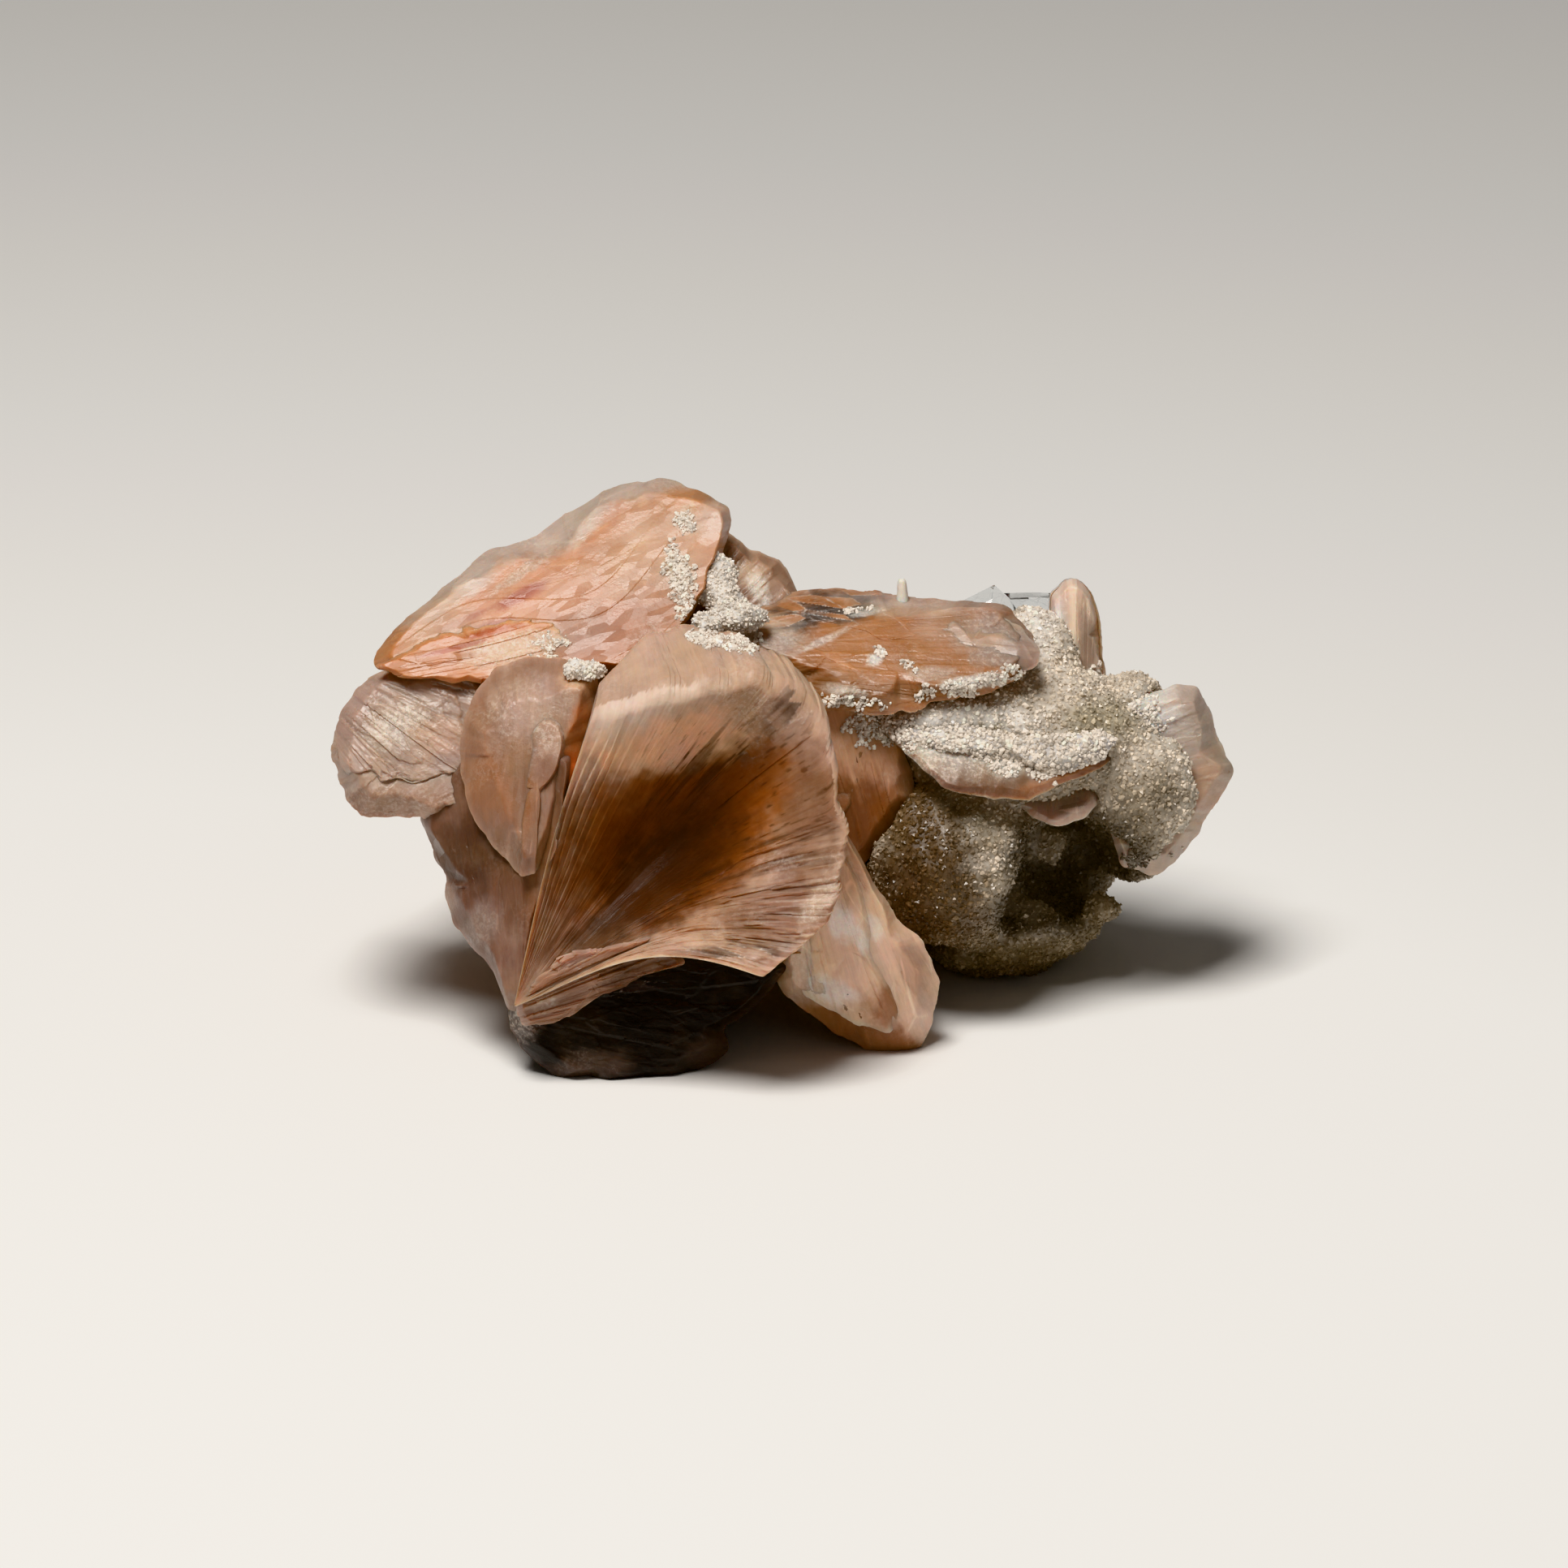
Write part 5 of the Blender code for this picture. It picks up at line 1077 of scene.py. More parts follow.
def mixed(tree, factor, first, second):
    """Mixes two colours."""
    node = tree.nodes.new("ShaderNodeMix")
    node.data_type = "RGBA"
    tree.links.new(factor, node.inputs["Factor"])
    for name, value in (("A", first), ("B", second)):
        if isinstance(value, tuple):
            node.inputs[name].default_value = (*value, 1)
        else:
            tree.links.new(value, node.inputs[name])
    return node.outputs["Result"]


def painted_base(tree, position, tint, value):
    """The painted colour times a pattern, with sugary white grains where the paint is frosted."""
    colour = vector_node(tree, "SCALE", tint.outputs["Color"])
    tree.links.new(value, colour.node.inputs["Scale"])
    sugar = ranged(tree, noise_node(tree, position, 2300.0, 3.0, 0.7), 0.47, 0.60, 0.0, 1.0)
    frosted = math_node(tree, "MULTIPLY", sugar, math_node(tree, "MULTIPLY", tint.outputs["Alpha"], 0.75))
    return mixed(tree, frosted, colour, (0.86, 0.76, 0.66))


def stilbite_material(name, style, glaze, gloss=0.4):
    """Pearly, translucent blades: streaks along the fibres and thin split facets that catch the light."""
    material, tree, shader = new_material(name)
    uv = tree.nodes.new("ShaderNodeUVMap")
    uv.uv_map = "fibre"
    position = tree.nodes.new("ShaderNodeTexCoord").outputs["Object"]
    tint = painted(tree)
    streak = noise_node(tree, vector_node(tree, "MULTIPLY", uv.outputs[0], (6.0, 0.30, 1.0)), 1.0, 3.0, 0.62)
    band = noise_node(tree, vector_node(tree, "MULTIPLY", uv.outputs[0], (1.4, 0.10, 1.0)), 1.0, 3.0, 0.55)
    scratch = noise_node(tree, vector_node(tree, "MULTIPLY", uv.outputs[0], (11.0, 0.9, 1.0)), 1.0, 4.0, 0.7)
    cloud = noise_node(tree, position, 420.0, 4.0, 0.6)
    value = ranged(tree, streak, 0.25, 0.75, 0.95, 1.04)
    value = math_node(tree, "MULTIPLY", value, ranged(tree, band, 0.25, 0.75, 0.94, 1.05))
    value = math_node(tree, "MULTIPLY", value, ranged(tree, cloud, 0.3, 0.7, 0.92, 1.08))
    colour = painted_base(tree, position, tint, value)
    pale = ranged(tree, scratch, 0.60, 0.76, 0.0, 0.20)
    milk = ranged(tree, noise_node(tree, position, 190.0, 4.0, 0.6), 0.50, 0.72, 0.0, 0.30)
    brightness = vector_node(tree, "DOT_PRODUCT", tint.outputs["Color"], (0.4, 0.4, 0.2), output=1)
    lightness = ranged(tree, brightness, 0.02, 0.35, 0.12, 1.0)
    pale = math_node(tree, "MULTIPLY", math_node(tree, "MAXIMUM", pale, milk), lightness)
    colour = mixed(tree, pale, colour, (0.72, 0.51, 0.37))
    dots = tree.nodes.new("ShaderNodeTexVoronoi")
    dots.inputs["Scale"].default_value = 330.0
    tree.links.new(position, dots.inputs["Vector"])
    dust = ranged(tree, dots.outputs["Distance"], 0.030, 0.045, 1.0, 0.0)
    clouds = ranged(tree, noise_node(tree, position, 90.0), 0.52, 0.60, 0.0, 0.8)
    dust = math_node(tree, "MULTIPLY", dust, clouds)
    colour = mixed(tree, dust, colour, (0.05, 0.032, 0.022))
    tree.links.new(colour, shader.inputs["Base Color"])
    flat = vector_node(tree, "MULTIPLY", uv.outputs[0], (1.0, 0.38, 1.0))
    plates, cell_colour = facet_height(tree, flat, 1.3, 0.00010)
    grain = noise_node(tree, position, 2600.0, 3.0, 0.6)
    normal = bump_node(tree, plates, 0.8, 1.0)
    normal = bump_node(tree, scratch, 0.25, 0.00005, normal)
    frost = math_node(tree, "ADD", tint.outputs["Alpha"], 0.3)
    normal = bump_node(tree, math_node(tree, "MULTIPLY", grain, frost), 0.8, 0.00016, normal)
    tree.links.new(normal, shader.inputs["Normal"])
    split = tree.nodes.new("ShaderNodeSeparateXYZ")
    tree.links.new(cell_colour, split.inputs[0])
    tree.links.new(ranged(tree, split.outputs["X"], 0.2, 0.9, 0.30, 0.60), shader.inputs["Roughness"])
    shader.inputs["IOR"].default_value = STILBITE_IOR
    shader.inputs["Subsurface Weight"].default_value = 0.6
    shader.inputs["Subsurface Radius"].default_value = (1.0, 0.45, 0.25)
    shader.inputs["Subsurface Scale"].default_value = style.glow_depth
    shader.inputs["Specular IOR Level"].default_value = gloss
    shader.inputs["Coat Weight"].default_value = glaze
    shader.inputs["Coat Roughness"].default_value = 0.18
    shader.inputs["Coat IOR"].default_value = STILBITE_IOR
    return material


def quartz_material(name, glow):
    """Sugary quartz: the ground glows, and the grains on it glint."""
    material, tree, shader = new_material(name)
    position = tree.nodes.new("ShaderNodeTexCoord").outputs["Object"]
    tint = painted(tree)
    speckle = noise_node(tree, position, 1900.0, 3.0, 0.65)
    value = ranged(tree, speckle, 0.3, 0.7, 0.82, 1.14)
    colour = vector_node(tree, "SCALE", tint.outputs["Color"])
    tree.links.new(value, colour.node.inputs["Scale"])
    tree.links.new(colour, shader.inputs["Base Color"])
    facets, _ = facet_height(tree, position, 2600.0, 0.25)
    normal = bump_node(tree, facets, 0.8, 1.0)
    normal = bump_node(tree, speckle, 0.4, 0.00008, normal)
    tree.links.new(normal, shader.inputs["Normal"])
    shader.inputs["Roughness"].default_value = 0.5 if glow else 0.32
    shader.inputs["IOR"].default_value = QUARTZ_IOR
    shader.inputs["Subsurface Weight"].default_value = glow
    shader.inputs["Subsurface Radius"].default_value = (1.0, 0.90, 0.74)
    shader.inputs["Subsurface Scale"].default_value = 0.0030
    shader.inputs["Coat Weight"].default_value = 0.08
    shader.inputs["Coat Roughness"].default_value = 0.10
    return material


def crust_paint(obj, base, stains, grain_points=0, cloudy=0.6):
    """Colours a crust or its grains: whiter and greyer fields, painted shade in the grotto with painted light
    on its buds, and for grains a brightness of their own with painted glints.
    """
    count = len(obj.data.vertices)
    co = np.empty(count * 3, np.float32)
    obj.data.vertices.foreach_get("co", co)
    place = to_drawing(co.reshape(-1, 3).astype(float))
    if grain_points:
        grain = np.arange(count) // grain_points
        place = np.repeat(place[::grain_points], grain_points, axis=0)[:count]
        # Each grain gets its own brightness: random tone, with a few much brighter grains as painted glints.
        painted_glint = 0.80 + 0.64 * hash_of(grain, grain * 0, 3) ** 2
    else:
        painted_glint = np.full(count, 1.0)
    x, y, z = place.T
    colour = np.tile(linear(base), (count, 1))
    cloud = ease(-0.5, 0.6, rough(x * 0.14 + z * 0.05, y * 0.14 - z * 0.07, 61, 3))
    colour += (linear("dim_quartz") - colour) * (cloudy * cloud)[:, None]
    colour = stained(colour, stains, x, y, x * 0.6 + z, y * 0.8, 67)
    fine = 1 + 0.16 * rough(x * 1.1 + z * 0.4, y * 1.1 - z * 0.3, 71, 2)
    # Painted shade inside the grotto's hollows, kept lighter round the buds as painted light on them.
    dark = np.zeros(count)
    for middle, radii in GROTTO_HOLLOWS:
        dark = np.maximum(dark, ease(1.35, 0.98, np.linalg.norm((place - middle) / np.array(radii), axis=1)))
    for middle, radius in GROTTO_BUDS:
        dark = dark * (0.15 + 0.85 * ease(0.5, 1.8, np.linalg.norm(place - middle, axis=1) / radius))
    colour[:, :3] += (linear("grotto") - colour[:, :3]) * (0.92 * dark)[:, None]
    colour[:, :3] *= (painted_glint * fine)[:, None]
    coloured(obj.data, np.clip(colour, 0.0, 1.0))


def clear_material(name, colour):
    """Clear crystal with faint clouds of tiny cracks."""
    material, tree, shader = new_material(name)
    position = tree.nodes.new("ShaderNodeTexCoord").outputs["Object"]
    cloud = noise_node(tree, position, 500.0, 4.0, 0.6)
    shader.inputs["Base Color"].default_value = (*colour, 1)
    tree.links.new(ranged(tree, cloud, 0.45, 0.75, 0.02, 0.25), shader.inputs["Roughness"])
    facets, _ = facet_height(tree, position, 420.0, 0.25)
    tree.links.new(bump_node(tree, facets, 0.6, 1.0), shader.inputs["Normal"])
    shader.inputs["IOR"].default_value = APOPHYLLITE_IOR
    shader.inputs["Transmission Weight"].default_value = 1.0
    return material


def material_named(name, make, *details):
    """The material of that name, made on its first use."""
    return bpy.data.materials.get(name) or make(name, *details)


def settled(obj, material, nodes=()):
    """Gives a finished piece its material and ties it to the frame."""
    obj.data.materials.clear()
    obj.data.materials.append(material)
    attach(obj, "root")
    if nodes:
        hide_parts(*nodes)
    return obj


def build_sheaves(context, skin_name, crystals, glaze=1.0):
    """Builds some of the sheaves of the large solid in one finish."""
    style = context.scene.mineral_style
    skin = material_named(skin_name, stilbite_material, style, min(1.0, style.pearly * glaze))
    for name, crystal in crystals:
        settled(crystal_piece(name, crystal), skin, STILBITE)
    return skin


def grown_grains(name, ground, shape, crust, nodes, slot, base="white", stains=(), cloudy=0.0, **settings):
    """Grains on a ground, sown, coloured and tied to the frame. Their sizes are shares of the usual grain."""
    glinting = material_named("quartz_grains", quartz_material, 0.0)
    low, high = settings["sizes"]
    grains = sown_grains(name, ground, shape, glinting, {
        "Spacing": crust.grain_spacing * settings["spacing"], "Density": settings["density"],
        "Smallest": crust.grain_size * low, "Largest": crust.grain_size * high,
        "Splay": settings["splay"], "Seed": crust.seed + settings["seed"]})
    crust_paint(grains, base, stains, len(shape.data.vertices), cloudy)
    settled(grains, glinting, nodes)


def grain_shape(name, sides, waist):
    """A tiny quartz point: a pyramid on a short prism, or on nothing where its waist is at the ground."""
    bm = bmesh.new()
    rings = []
    for height in (-0.3, waist) if waist > 0 else (-0.1,):
        ring = []
        for k in range(sides):
            turn = 2 * math.pi * (k + 0.3 * height) / sides
            ring.append(bm.verts.new((0.46 * math.cos(turn), 0.40 * math.sin(turn), height)))
        rings.append(ring)
    tip = bm.verts.new((0.08, 0.04, waist + 0.46))
    for k in range(sides):
        j = (k + 1) % sides
        if len(rings) == 2:
            bm.faces.new((rings[0][k], rings[0][j], rings[1][j], rings[1][k]))
        bm.faces.new((rings[-1][k], rings[-1][j], tip))
    bm.faces.new(rings[0][::-1])
    bmesh.ops.recalc_face_normals(bm, faces=bm.faces)
    mesh = bpy.data.meshes.new(name)
    bm.to_mesh(mesh)
    bm.free()
    obj = bpy.data.objects.new(name, mesh)
    bpy.context.scene.collection.objects.link(obj)
    return obj


def grain_tree(name, shape, material):
    """Geometry nodes that sow quartz points over a crust."""
    tree = bpy.data.node_groups.new(name, "GeometryNodeTree")
    tree.is_modifier = True
    face = tree.interface
    face.new_socket("Geometry", in_out="INPUT", socket_type="NodeSocketGeometry")
    for number_name in ("Spacing", "Density", "Smallest", "Largest", "Splay"):
        face.new_socket(number_name, in_out="INPUT", socket_type="NodeSocketFloat")
    face.new_socket("Seed", in_out="INPUT", socket_type="NodeSocketInt")
    face.new_socket("Geometry", in_out="OUTPUT", socket_type="NodeSocketGeometry")
    nodes, links = tree.nodes, tree.links
    given, result = nodes.new("NodeGroupInput"), nodes.new("NodeGroupOutput")
    scatter = nodes.new("GeometryNodeDistributePointsOnFaces")
    scatter.distribute_method = "POISSON"
    for source, target in (("Geometry", "Mesh"), ("Spacing", "Distance Min"), ("Density", "Density Max"),
                           ("Seed", "Seed")):
        links.new(given.outputs[source], scatter.inputs[target])
    model = nodes.new("GeometryNodeObjectInfo")
    model.inputs["Object"].default_value = shape
    spin = nodes.new("FunctionNodeRandomValue")
    spin.data_type = "FLOAT_VECTOR"
    links.new(given.outputs["Seed"], spin.inputs["Seed"])
    for end, furthest in (("Min", (-1.0, -1.0, 0.0)), ("Max", (1.0, 1.0, 6.0))):
        angles = vector_node(tree, "SCALE", furthest)
        links.new(given.outputs["Splay"], angles.node.inputs["Scale"])
        links.new(angles, spin.inputs[end])
    turn = nodes.new("FunctionNodeEulerToRotation")
    links.new(spin.outputs["Value"], turn.inputs[0])
    both = nodes.new("FunctionNodeRotateRotation")
    both.rotation_space = "LOCAL"
    links.new(scatter.outputs["Rotation"], both.inputs[0])
    links.new(turn.outputs[0], both.inputs[1])
    size = nodes.new("FunctionNodeRandomValue")
    size.data_type = "FLOAT"
    links.new(math_node(tree, "ADD", given.outputs["Seed"], 1.0), size.inputs["Seed"])
    links.new(given.outputs["Smallest"], size.inputs[2])
    links.new(given.outputs["Largest"], size.inputs[3])
    place = nodes.new("GeometryNodeInstanceOnPoints")
    links.new(scatter.outputs["Points"], place.inputs["Points"])
    links.new(model.outputs["Geometry"], place.inputs["Instance"])
    links.new(both.outputs[0], place.inputs["Rotation"])
    links.new(size.outputs[1], place.inputs["Scale"])
    real = nodes.new("GeometryNodeRealizeInstances")
    links.new(place.outputs[0], real.inputs[0])
    paint = nodes.new("GeometryNodeSetMaterial")
    paint.inputs["Material"].default_value = material
    links.new(real.outputs[0], paint.inputs["Geometry"])
    links.new(paint.outputs[0], result.inputs[0])
    return tree


def sown_grains(name, ground, shape, material, settings):
    """Quartz points over ground, as one plain mesh."""
    carrier = bpy.data.objects.new(name + "_carrier", ground.data)
    bpy.context.scene.collection.objects.link(carrier)
    modifier = carrier.modifiers.new("grains", "NODES")
    modifier.node_group = grain_tree(name + "_nodes", shape, material)
    for item in modifier.node_group.interface.items_tree:
        if item.in_out == "INPUT" and item.name in settings:
            modifier[item.identifier] = settings[item.name]
    bpy.context.view_layer.update()
    graph = bpy.context.evaluated_depsgraph_get()
    mesh = bpy.data.meshes.new_from_object(carrier.evaluated_get(graph))
    carrier.modifiers.remove(modifier)
    bpy.data.objects.remove(carrier)
    mesh.name = name
    while mesh.color_attributes:
        mesh.color_attributes.remove(mesh.color_attributes[0])
    grains = bpy.data.objects.new(name, mesh)
    bpy.context.scene.collection.objects.link(grains)
    if not len(mesh.polygons):
        raise RuntimeError(name + " grew no grains")
    above = np.empty(len(mesh.vertices) * 3, np.float32)
    mesh.vertices.foreach_get("co", above)
    above = above.reshape(-1, 3)
    above[:, 2] = np.maximum(above[:, 2], 0.0)
    mesh.vertices.foreach_set("co", above.ravel())
    mesh.shade_flat()
    return grains


def near_faces(host, spots):
    """A loose copy of the faces of a finished piece that lie near some spots, thinned towards their edges."""
    mesh = host.data
    count = len(mesh.polygons)
    middles = np.empty(count * 3, np.float32)
    mesh.polygons.foreach_get("center", middles)
    place = to_drawing(middles.reshape(-1, 3).astype(float))
    facing = np.empty(count * 3, np.float32)
    mesh.polygons.foreach_get("normal", facing)
    forward = facing.reshape(-1, 3) @ np.array([0.0, -math.sin(STANDING_TURN), math.cos(STANDING_TURN)])
    x, y = place[:, 0], place[:, 1]
    chance = np.zeros(count)
    for middle, half, turn in spots:
        across, up = in_spot(x, y, middle, half, turn)
        ragged = 0.9 * rough(x * 0.9, y * 0.9, 83, 3)
        chance = np.maximum(chance, ease(1.2, 0.6, np.hypot(across, up) + ragged))
    keep = (hash_of(np.arange(count), np.arange(count) * 0, 89) < chance) & (forward > 0.2)
    bm = bmesh.new()
    bm.from_mesh(mesh)
    bm.faces.ensure_lookup_table()
    bmesh.ops.delete(bm, geom=[face for face, kept in zip(bm.faces, keep) if not kept], context="FACES")
    loose = bpy.data.meshes.new(host.name + "_near")
    bm.to_mesh(loose)
    bm.free()
    patch = bpy.data.objects.new(host.name + "_near", loose)
    bpy.context.scene.collection.objects.link(patch)
    return patch


def lumpy_ground(name, node, voxel, swell):
    """A CAD crust, merged, remeshed finely and roughened."""
    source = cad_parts[node].data.copy()
    bm = bmesh.new()
    bm.from_mesh(source)
    bmesh.ops.remove_doubles(bm, verts=bm.verts, dist=CAD_MERGE_REACH)
    bm.to_mesh(source)
    bm.free()
    obj = bpy.data.objects.new(name, source)
    bpy.context.scene.collection.objects.link(obj)
    remesh = obj.modifiers.new("fine", "REMESH")
    remesh.mode = "VOXEL"
    remesh.voxel_size = voxel
    smooth = obj.modifiers.new("soften", "SMOOTH")
    smooth.iterations = 3
    bpy.context.view_layer.update()
    graph = bpy.context.evaluated_depsgraph_get()
    mesh = bpy.data.meshes.new_from_object(obj.evaluated_get(graph))
    obj.modifiers.clear()
    obj.data = mesh
    count = len(mesh.vertices)
    co, normal = np.empty(count * 3, np.float32), np.empty(count * 3, np.float32)
    mesh.vertices.foreach_get("co", co)
    mesh.vertices.foreach_get("normal", normal)
    co, normal = co.reshape(-1, 3).astype(float), normal.reshape(-1, 3)
    mm = co / MM
    bumps = rough(mm[:, 0] * 0.45 + mm[:, 1] * 0.2, mm[:, 2] * 0.45 - mm[:, 1] * 0.35, 7, 4)
    bumps += 0.6 * np.abs(rough(mm[:, 0] * 0.6 - mm[:, 1] * 0.3, mm[:, 2] * 0.6 + mm[:, 1] * 0.4, 8, 3)) - 0.2
    co += normal * (bumps * swell)[:, None]
    co[:, 2] = np.maximum(co[:, 2], 0.0)
    mesh.vertices.foreach_set("co", co.astype(np.float32).ravel())
    mesh.update()
    mesh.shade_smooth()
    return obj


class MineralStyle(bpy.types.PropertyGroup):
    glow_depth: bpy.props.FloatProperty(
        name="Glow depth", description="How deep light sinks into the stilbite", default=0.0022,
        min=0.0, subtype="DISTANCE", unit="LENGTH")
    pearly: bpy.props.FloatProperty(
        name="Pearly glaze", description="Weight of the pearly coat on the blades", default=0.08,
        min=0.0, max=1.0, subtype="FACTOR")
    clear_tint: bpy.props.FloatVectorProperty(
        name="Clear crystal", description="Tint of the clear crystals", default=(0.78, 0.80, 0.81),
        size=3, min=0.0, max=1.0, subtype="COLOR")


class CrustStyle(bpy.types.PropertyGroup):
    voxel: bpy.props.FloatProperty(
        name="Crust detail", description="Mesh size of the crust under the grains", default=0.00055,
        min=0.0002, subtype="DISTANCE", unit="LENGTH")
    swell: bpy.props.FloatProperty(
        name="Crust lumps", description="Height of the lumps of the crust", default=0.00055,
        min=0.0, subtype="DISTANCE", unit="LENGTH")
    grain_size: bpy.props.FloatProperty(
        name="Grain size", description="Length of an average quartz point", default=0.00046,
        min=0.0001, subtype="DISTANCE", unit="LENGTH")
    grain_spacing: bpy.props.FloatProperty(
        name="Grain spacing", description="Least distance between points", default=0.00029,
        min=0.0001, subtype="DISTANCE", unit="LENGTH")
    seed: bpy.props.IntProperty(name="Seed", description="Which random crust is grown", default=4, min=0)


class StageStyle(bpy.types.PropertyGroup):
    floor_size: bpy.props.FloatProperty(
        name="Floor size", description="Length of the floor's sides", default=8.0, min=0.5,
        subtype="DISTANCE", unit="LENGTH")
    key_power: bpy.props.FloatProperty(
        name="Key light", description="Power of the light overhead", default=4.6, min=0.0, unit="POWER")
    fill_power: bpy.props.FloatProperty(
        name="Fill light", description="Power of the weak light from the front", default=0.55, min=0.0,
        unit="POWER")
    floor_colour: bpy.props.FloatVectorProperty(
        name="Floor colour", description="Colour of the floor", default=(0.88, 0.87, 0.85), size=3,
        min=0.0, max=1.0, subtype="COLOR")


STILBITE = ("stilbite_sheaves",)


class STILBITE_OT_upper_sheaves(bpy.types.Operator):
    """Builds the upper sheaf, the ledge on it, the point behind it, the bow-tie sheaf and the spur"""

    bl_idname = "stilbite.upper_sheaves"
    bl_label = "Upper sheaves"

    def execute(self, context):
        build_sheaves(context, "peach_blades", (
            ("upper_sheaf", UPPER_SHEAF), ("upper_ledge", UPPER_LEDGE), ("rear_point", REAR_POINT),
            ("bow_sheaf", BOW_SHEAF), ("bow_end", BOW_END)))
        frosty = material_named("frosty_tip", stilbite_material, context.scene.mineral_style, 0.1)
        settled(spur_piece(), frosty, STILBITE)
        return {"FINISHED"}


class STILBITE_OT_left_sheaves(bpy.types.Operator):
    """Builds the left sheaf, its ledge, the petal, the petal's lobe and the left wing"""

    bl_idname = "stilbite.left_sheaves"
    bl_label = "Left sheaves"

    def execute(self, context):
        build_sheaves(context, "silver_blades", (
            ("left_sheaf", LEFT_SHEAF), ("left_ledge", LEFT_LEDGE), ("petal", PETAL),
            ("petal_lobe", PETAL_LOBE), ("left_wing", LEFT_WING)), glaze=1.6)
        return {"FINISHED"}


class STILBITE_OT_hollow_fan(bpy.types.Operator):
    """Builds the hollow fan in front"""

    bl_idname = "stilbite.hollow_fan"
    bl_label = "Hollow fan"

    def execute(self, context):
        style = context.scene.mineral_style
        skin = material_named("fan_blades", stilbite_material, style, 0.0, 0.14)
        settled(fan_piece(), skin, STILBITE)
        return {"FINISHED"}


class STILBITE_OT_lower_sheaves(bpy.types.Operator):
    """Builds the dark lower sheaf and its ledge, the standing sheaf and its ridge, and the middle block"""

    bl_idname = "stilbite.lower_sheaves"
    bl_label = "Lower sheaves"

    def execute(self, context):
        build_sheaves(context, "peach_blades", (
            ("lower_sheaf", LOWER_SHEAF), ("lower_ledge", LOWER_LEDGE), ("standing_sheaf", STANDING_SHEAF),
            ("standing_ridge", STANDING_RIDGE), ("middle_block", MIDDLE_BLOCK)))
        return {"FINISHED"}


class STILBITE_OT_rear_sheaves(bpy.types.Operator):
    """Builds the heart of the cluster and the sheaves that fan out behind"""

    bl_idname = "stilbite.rear_sheaves"
    bl_label = "Rear sheaves"

    def execute(self, context):
        skin = build_sheaves(context, "peach_blades", (("heart", HEART),))
        for number, sheaf in enumerate(REAR_SHEAVES):
            length, width, thick = sheaf["size"]
            outline = [(along * length, across * width) for along, across in REAR_OUTLINE]
            crystal = dict(
                outline=outline, level=0.0, lean=(0.0, 0.0), rise=thick * 0.4, back=thick * 0.6,
                root=(-3.0, 0.0), crown=0.76, grid=(170, 54), flakes=0.24,
                blades=[(9.0, 0.4, 0.2), (3.0, 0.2, 0.4), (1.1, 0.07, 0.4)],
                tint=REAR_TINTS[number], seed=200 + 9 * number,
                stains=[("silver", (length * 0.8, 0.0), (length * 0.2, width * 0.3), 0, 0.5),
                        ("white", (length * 0.6, width * 0.2), (length * 0.15, 1.2), 20, 0.5)])
            place = turned_back(sheaf["at"], sheaf["heading"], sheaf["facing"])
            piece = crystal_piece(f"rear_sheaf_{number + 1}", crystal, place)
            settled(piece, skin, STILBITE)
        return {"FINISHED"}


class STILBITE_OT_single_blades(bpy.types.Operator):
    """Builds the right sheaf, the upright blade and the two thin blades in the quartz"""

    bl_idname = "stilbite.single_blades"
    bl_label = "Single blades"

    def execute(self, context):
        style = context.scene.mineral_style
        skin = material_named("rose_blades", stilbite_material, style, style.pearly)
        for name, crystal in (("right_sheaf", RIGHT_SHEAF), ("upright_blade", UPRIGHT_BLADE),
                              ("ledge_blade", LEDGE_BLADE), ("shelf_blade", SHELF_BLADE)):
            settled(crystal_piece(name + "_bladed", crystal), skin, (name,))
        return {"FINISHED"}


class STILBITE_OT_clear_crystals(bpy.types.Operator):
    """Finishes the two clear crystals behind the bow-tie sheaf"""

    bl_idname = "stilbite.clear_crystals"
    bl_label = "Clear crystals"

    def execute(self, context):
        clear = material_named("clear_stone", clear_material, tuple(context.scene.mineral_style.clear_tint))
        for name in ("clear_crystal", "clear_block"):
            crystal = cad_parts[name]
            crystal.data.materials.clear()
            crystal.data.materials.append(clear)
        return {"FINISHED"}


class STILBITE_OT_quartz_crust(bpy.types.Operator):
    """Grows the sugary quartz crust with its grotto, and the drift on the ledge blade"""

    bl_idname = "stilbite.quartz_crust"
    bl_label = "Quartz crust"

    def execute(self, context):
        crust = context.scene.crust_style
        skin = material_named("sugary_quartz", quartz_material, 0.7)
        ground = lumpy_ground("crust_ground", "quartz_crust", crust.voxel, crust.swell)
        crust_paint(ground, "quartz", CRUST_STAINS)
        settled(ground, skin, ("quartz_crust",))
        drift = settled(crystal_piece("ledge_drift", LEDGE_DRIFT), skin, ("quartz_crust",))
        tip = grain_shape("drift_point", 5, 0.2)
        grown_grains("ledge_drift_grains", drift, tip, crust, ("quartz_crust",), "grey_quartz", cloudy=0.2,
                     spacing=0.9, density=1.6e7, sizes=(0.6, 1.5), splay=1.1, seed=2)
        bpy.data.objects.remove(tip)
        for name, sides, waist, spacing, sizes, splay in (
                ("crust_points", 5, 0.10, 2.6, (0.7, 1.7), 1.0),
                ("crust_sugar", 4, 0.0, 1.0, (0.6, 1.5), 1.2)):
            shape = grain_shape(name + "_shape", sides, waist)
            grown_grains(name, ground, shape, crust, ("quartz_crust",), "grey_quartz", "quartz", CRUST_STAINS,
                         0.6, spacing=spacing, density=8.0e6, sizes=sizes, splay=splay, seed=sides)
            bpy.data.objects.remove(shape)
        return {"FINISHED"}


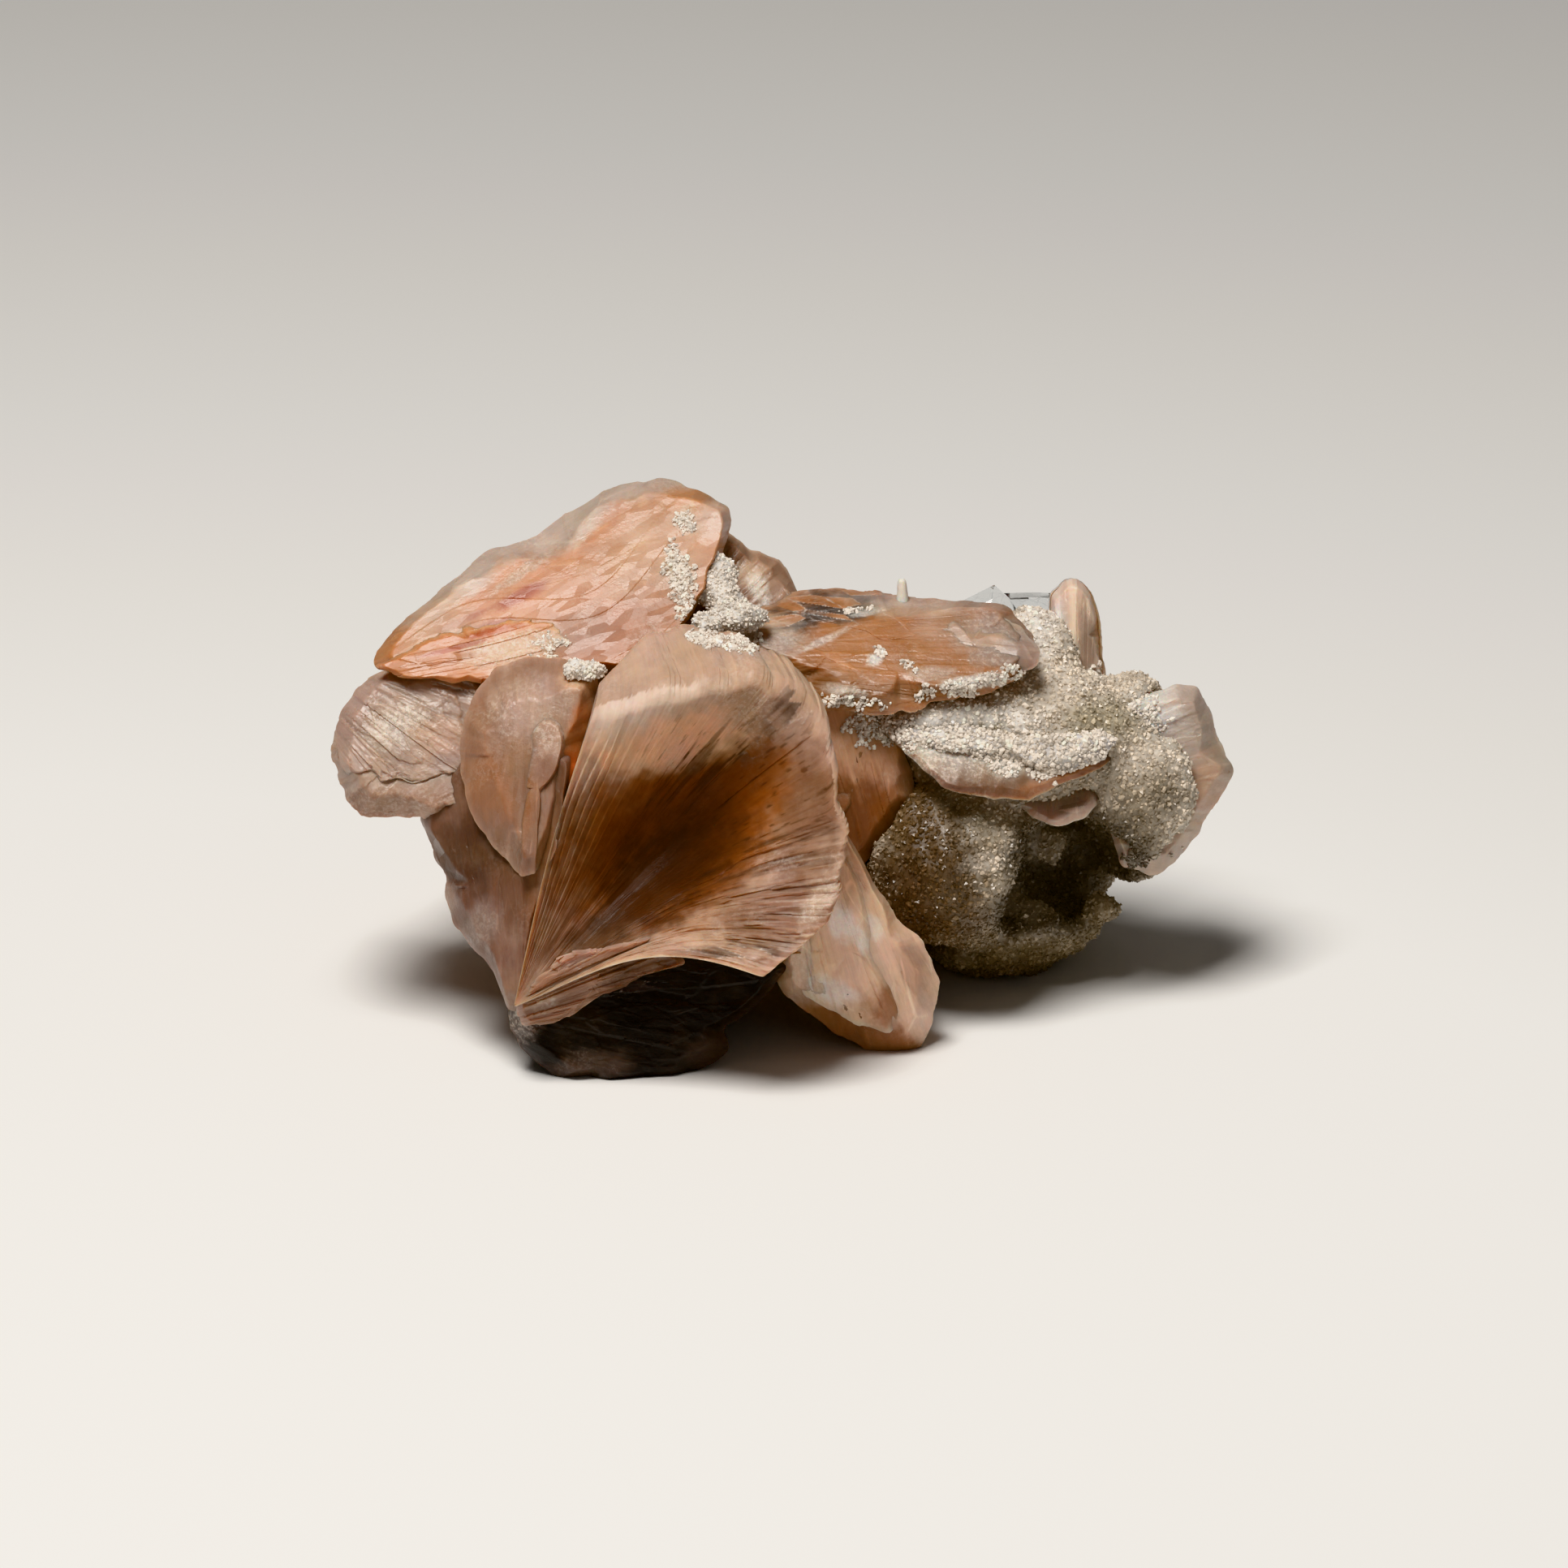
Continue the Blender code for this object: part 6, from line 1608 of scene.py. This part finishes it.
class STILBITE_OT_quartz_patches(bpy.types.Operator):
    """Grows the two white quartz patches on the sheaves, and the white grains that stray over others"""

    bl_idname = "stilbite.quartz_patches"
    bl_label = "White patches"

    def execute(self, context):
        crust = context.scene.crust_style
        skin = material_named("sugary_quartz", quartz_material, 0.7)
        point = grain_shape("patch_point", 5, 0.25)
        for node in ("upper_quartz_patch", "petal_quartz_patch"):
            ground = lumpy_ground(node + "_ground", node, crust.voxel * 0.6, crust.swell * 0.5)
            crust_paint(ground, "white", [], cloudy=0.0)
            settled(ground, skin, (node,))
            grown_grains(node + "_points", ground, point, crust, (node,), "white_quartz",
                         spacing=0.8, density=1.2e7, sizes=(0.5, 1.1), splay=0.9, seed=0)
        for host, node, spots in STRAY_GRAINS:
            patch = near_faces(bpy.data.objects[host], spots)
            grown_grains(host + "_stray_grains", patch, point, crust, (node,), "white_quartz",
                         spacing=0.7, density=2.2e7, sizes=(0.5, 1.3), splay=1.2, seed=9)
            bpy.data.objects.remove(patch)
        bpy.data.objects.remove(point)
        return {"FINISHED"}


class STILBITE_OT_stage(bpy.types.Operator):
    """Lays the pale floor, hangs the lights and sets the camera at the photograph's angle"""

    bl_idname = "stilbite.stage"
    bl_label = "Stage"

    def execute(self, context):
        scene, style = context.scene, context.scene.stage_style
        half = style.floor_size / 2
        mesh = bpy.data.meshes.new("pale_floor")
        corners = [(-half, -half, 0), (half, -half, 0), (half, half, 0), (-half, half, 0)]
        mesh.from_pydata(corners, [], [(0, 1, 2, 3)])
        floor = bpy.data.objects.new("pale_floor", mesh)
        scene.collection.objects.link(floor)
        material, _, shader = new_material("matt_floor")
        shader.inputs["Base Color"].default_value = (*style.floor_colour, 1)
        shader.inputs["Roughness"].default_value = FLOOR_ROUGHNESS
        mesh.materials.append(material)
        for name, place, width, colour, glossy in LIGHTS:
            data = bpy.data.lights.new(name, "AREA")
            data.size, data.energy = width, getattr(style, name + "_power")
            data.color = colour
            lamp = bpy.data.objects.new(name, data)
            scene.collection.objects.link(lamp)
            lamp.location = place
            lamp.visible_glossy = glossy
            lamp.rotation_euler = (Vector(LIGHT_AIM) - Vector(place)).to_track_quat("-Z", "Y").to_euler()
        world = bpy.data.worlds.new("soft_room")
        world.use_nodes = True
        world.node_tree.nodes["Background"].inputs["Color"].default_value = ROOM_COLOUR
        world.node_tree.nodes["Background"].inputs["Strength"].default_value = ROOM_STRENGTH
        scene.world = world
        scene.view_settings.view_transform = "Khronos PBR Neutral"
        data = bpy.data.cameras.new("photo_camera")
        data.sensor_width = SENSOR_WIDTH
        data.lens = data.sensor_width * VIEW_DISTANCE / PHOTO_WIDTH
        data.clip_end = FAR_CLIP
        camera = bpy.data.objects.new("photo_camera", data)
        scene.collection.objects.link(camera)
        stand = Matrix.Translation(Vector(STAND_AT) * MM) @ Matrix.Rotation(STANDING_TURN, 4, "X")
        camera.matrix_world = stand @ Matrix.Translation(Vector((*PHOTO_MIDDLE, VIEW_DISTANCE)) * MM)
        scene.camera = camera
        return {"FINISHED"}


OPERATORS = (
    STILBITE_OT_upper_sheaves, STILBITE_OT_left_sheaves, STILBITE_OT_hollow_fan, STILBITE_OT_lower_sheaves,
    STILBITE_OT_rear_sheaves, STILBITE_OT_single_blades, STILBITE_OT_clear_crystals,
    STILBITE_OT_quartz_crust, STILBITE_OT_quartz_patches, STILBITE_OT_stage,
)


class STILBITE_PT_panel(bpy.types.Panel):
    """Lists the pieces of the cluster and their settings"""

    bl_idname = "STILBITE_PT_panel"
    bl_label = "Stilbite cluster"
    bl_space_type = "VIEW_3D"
    bl_region_type = "UI"
    bl_category = "Stilbite"

    def draw(self, context):
        layout = self.layout
        for group in (context.scene.mineral_style, context.scene.crust_style, context.scene.stage_style):
            box = layout.box()
            for name in group.__annotations__:
                box.prop(group, name)
        for operator in OPERATORS:
            layout.operator(operator.bl_idname)


CLASSES = (MineralStyle, CrustStyle, StageStyle, *OPERATORS, STILBITE_PT_panel)


def register():
    for item in CLASSES:
        bpy.utils.register_class(item)
    bpy.types.Scene.mineral_style = bpy.props.PointerProperty(type=MineralStyle)
    bpy.types.Scene.crust_style = bpy.props.PointerProperty(type=CrustStyle)
    bpy.types.Scene.stage_style = bpy.props.PointerProperty(type=StageStyle)


def unregister():
    del bpy.types.Scene.stage_style
    del bpy.types.Scene.crust_style
    del bpy.types.Scene.mineral_style
    for item in reversed(CLASSES):
        bpy.utils.unregister_class(item)


def main():
    register()
    for operator in OPERATORS:
        group, name = operator.bl_idname.split(".")
        getattr(getattr(bpy.ops, group), name)()


if __name__ == "__main__":
    main()
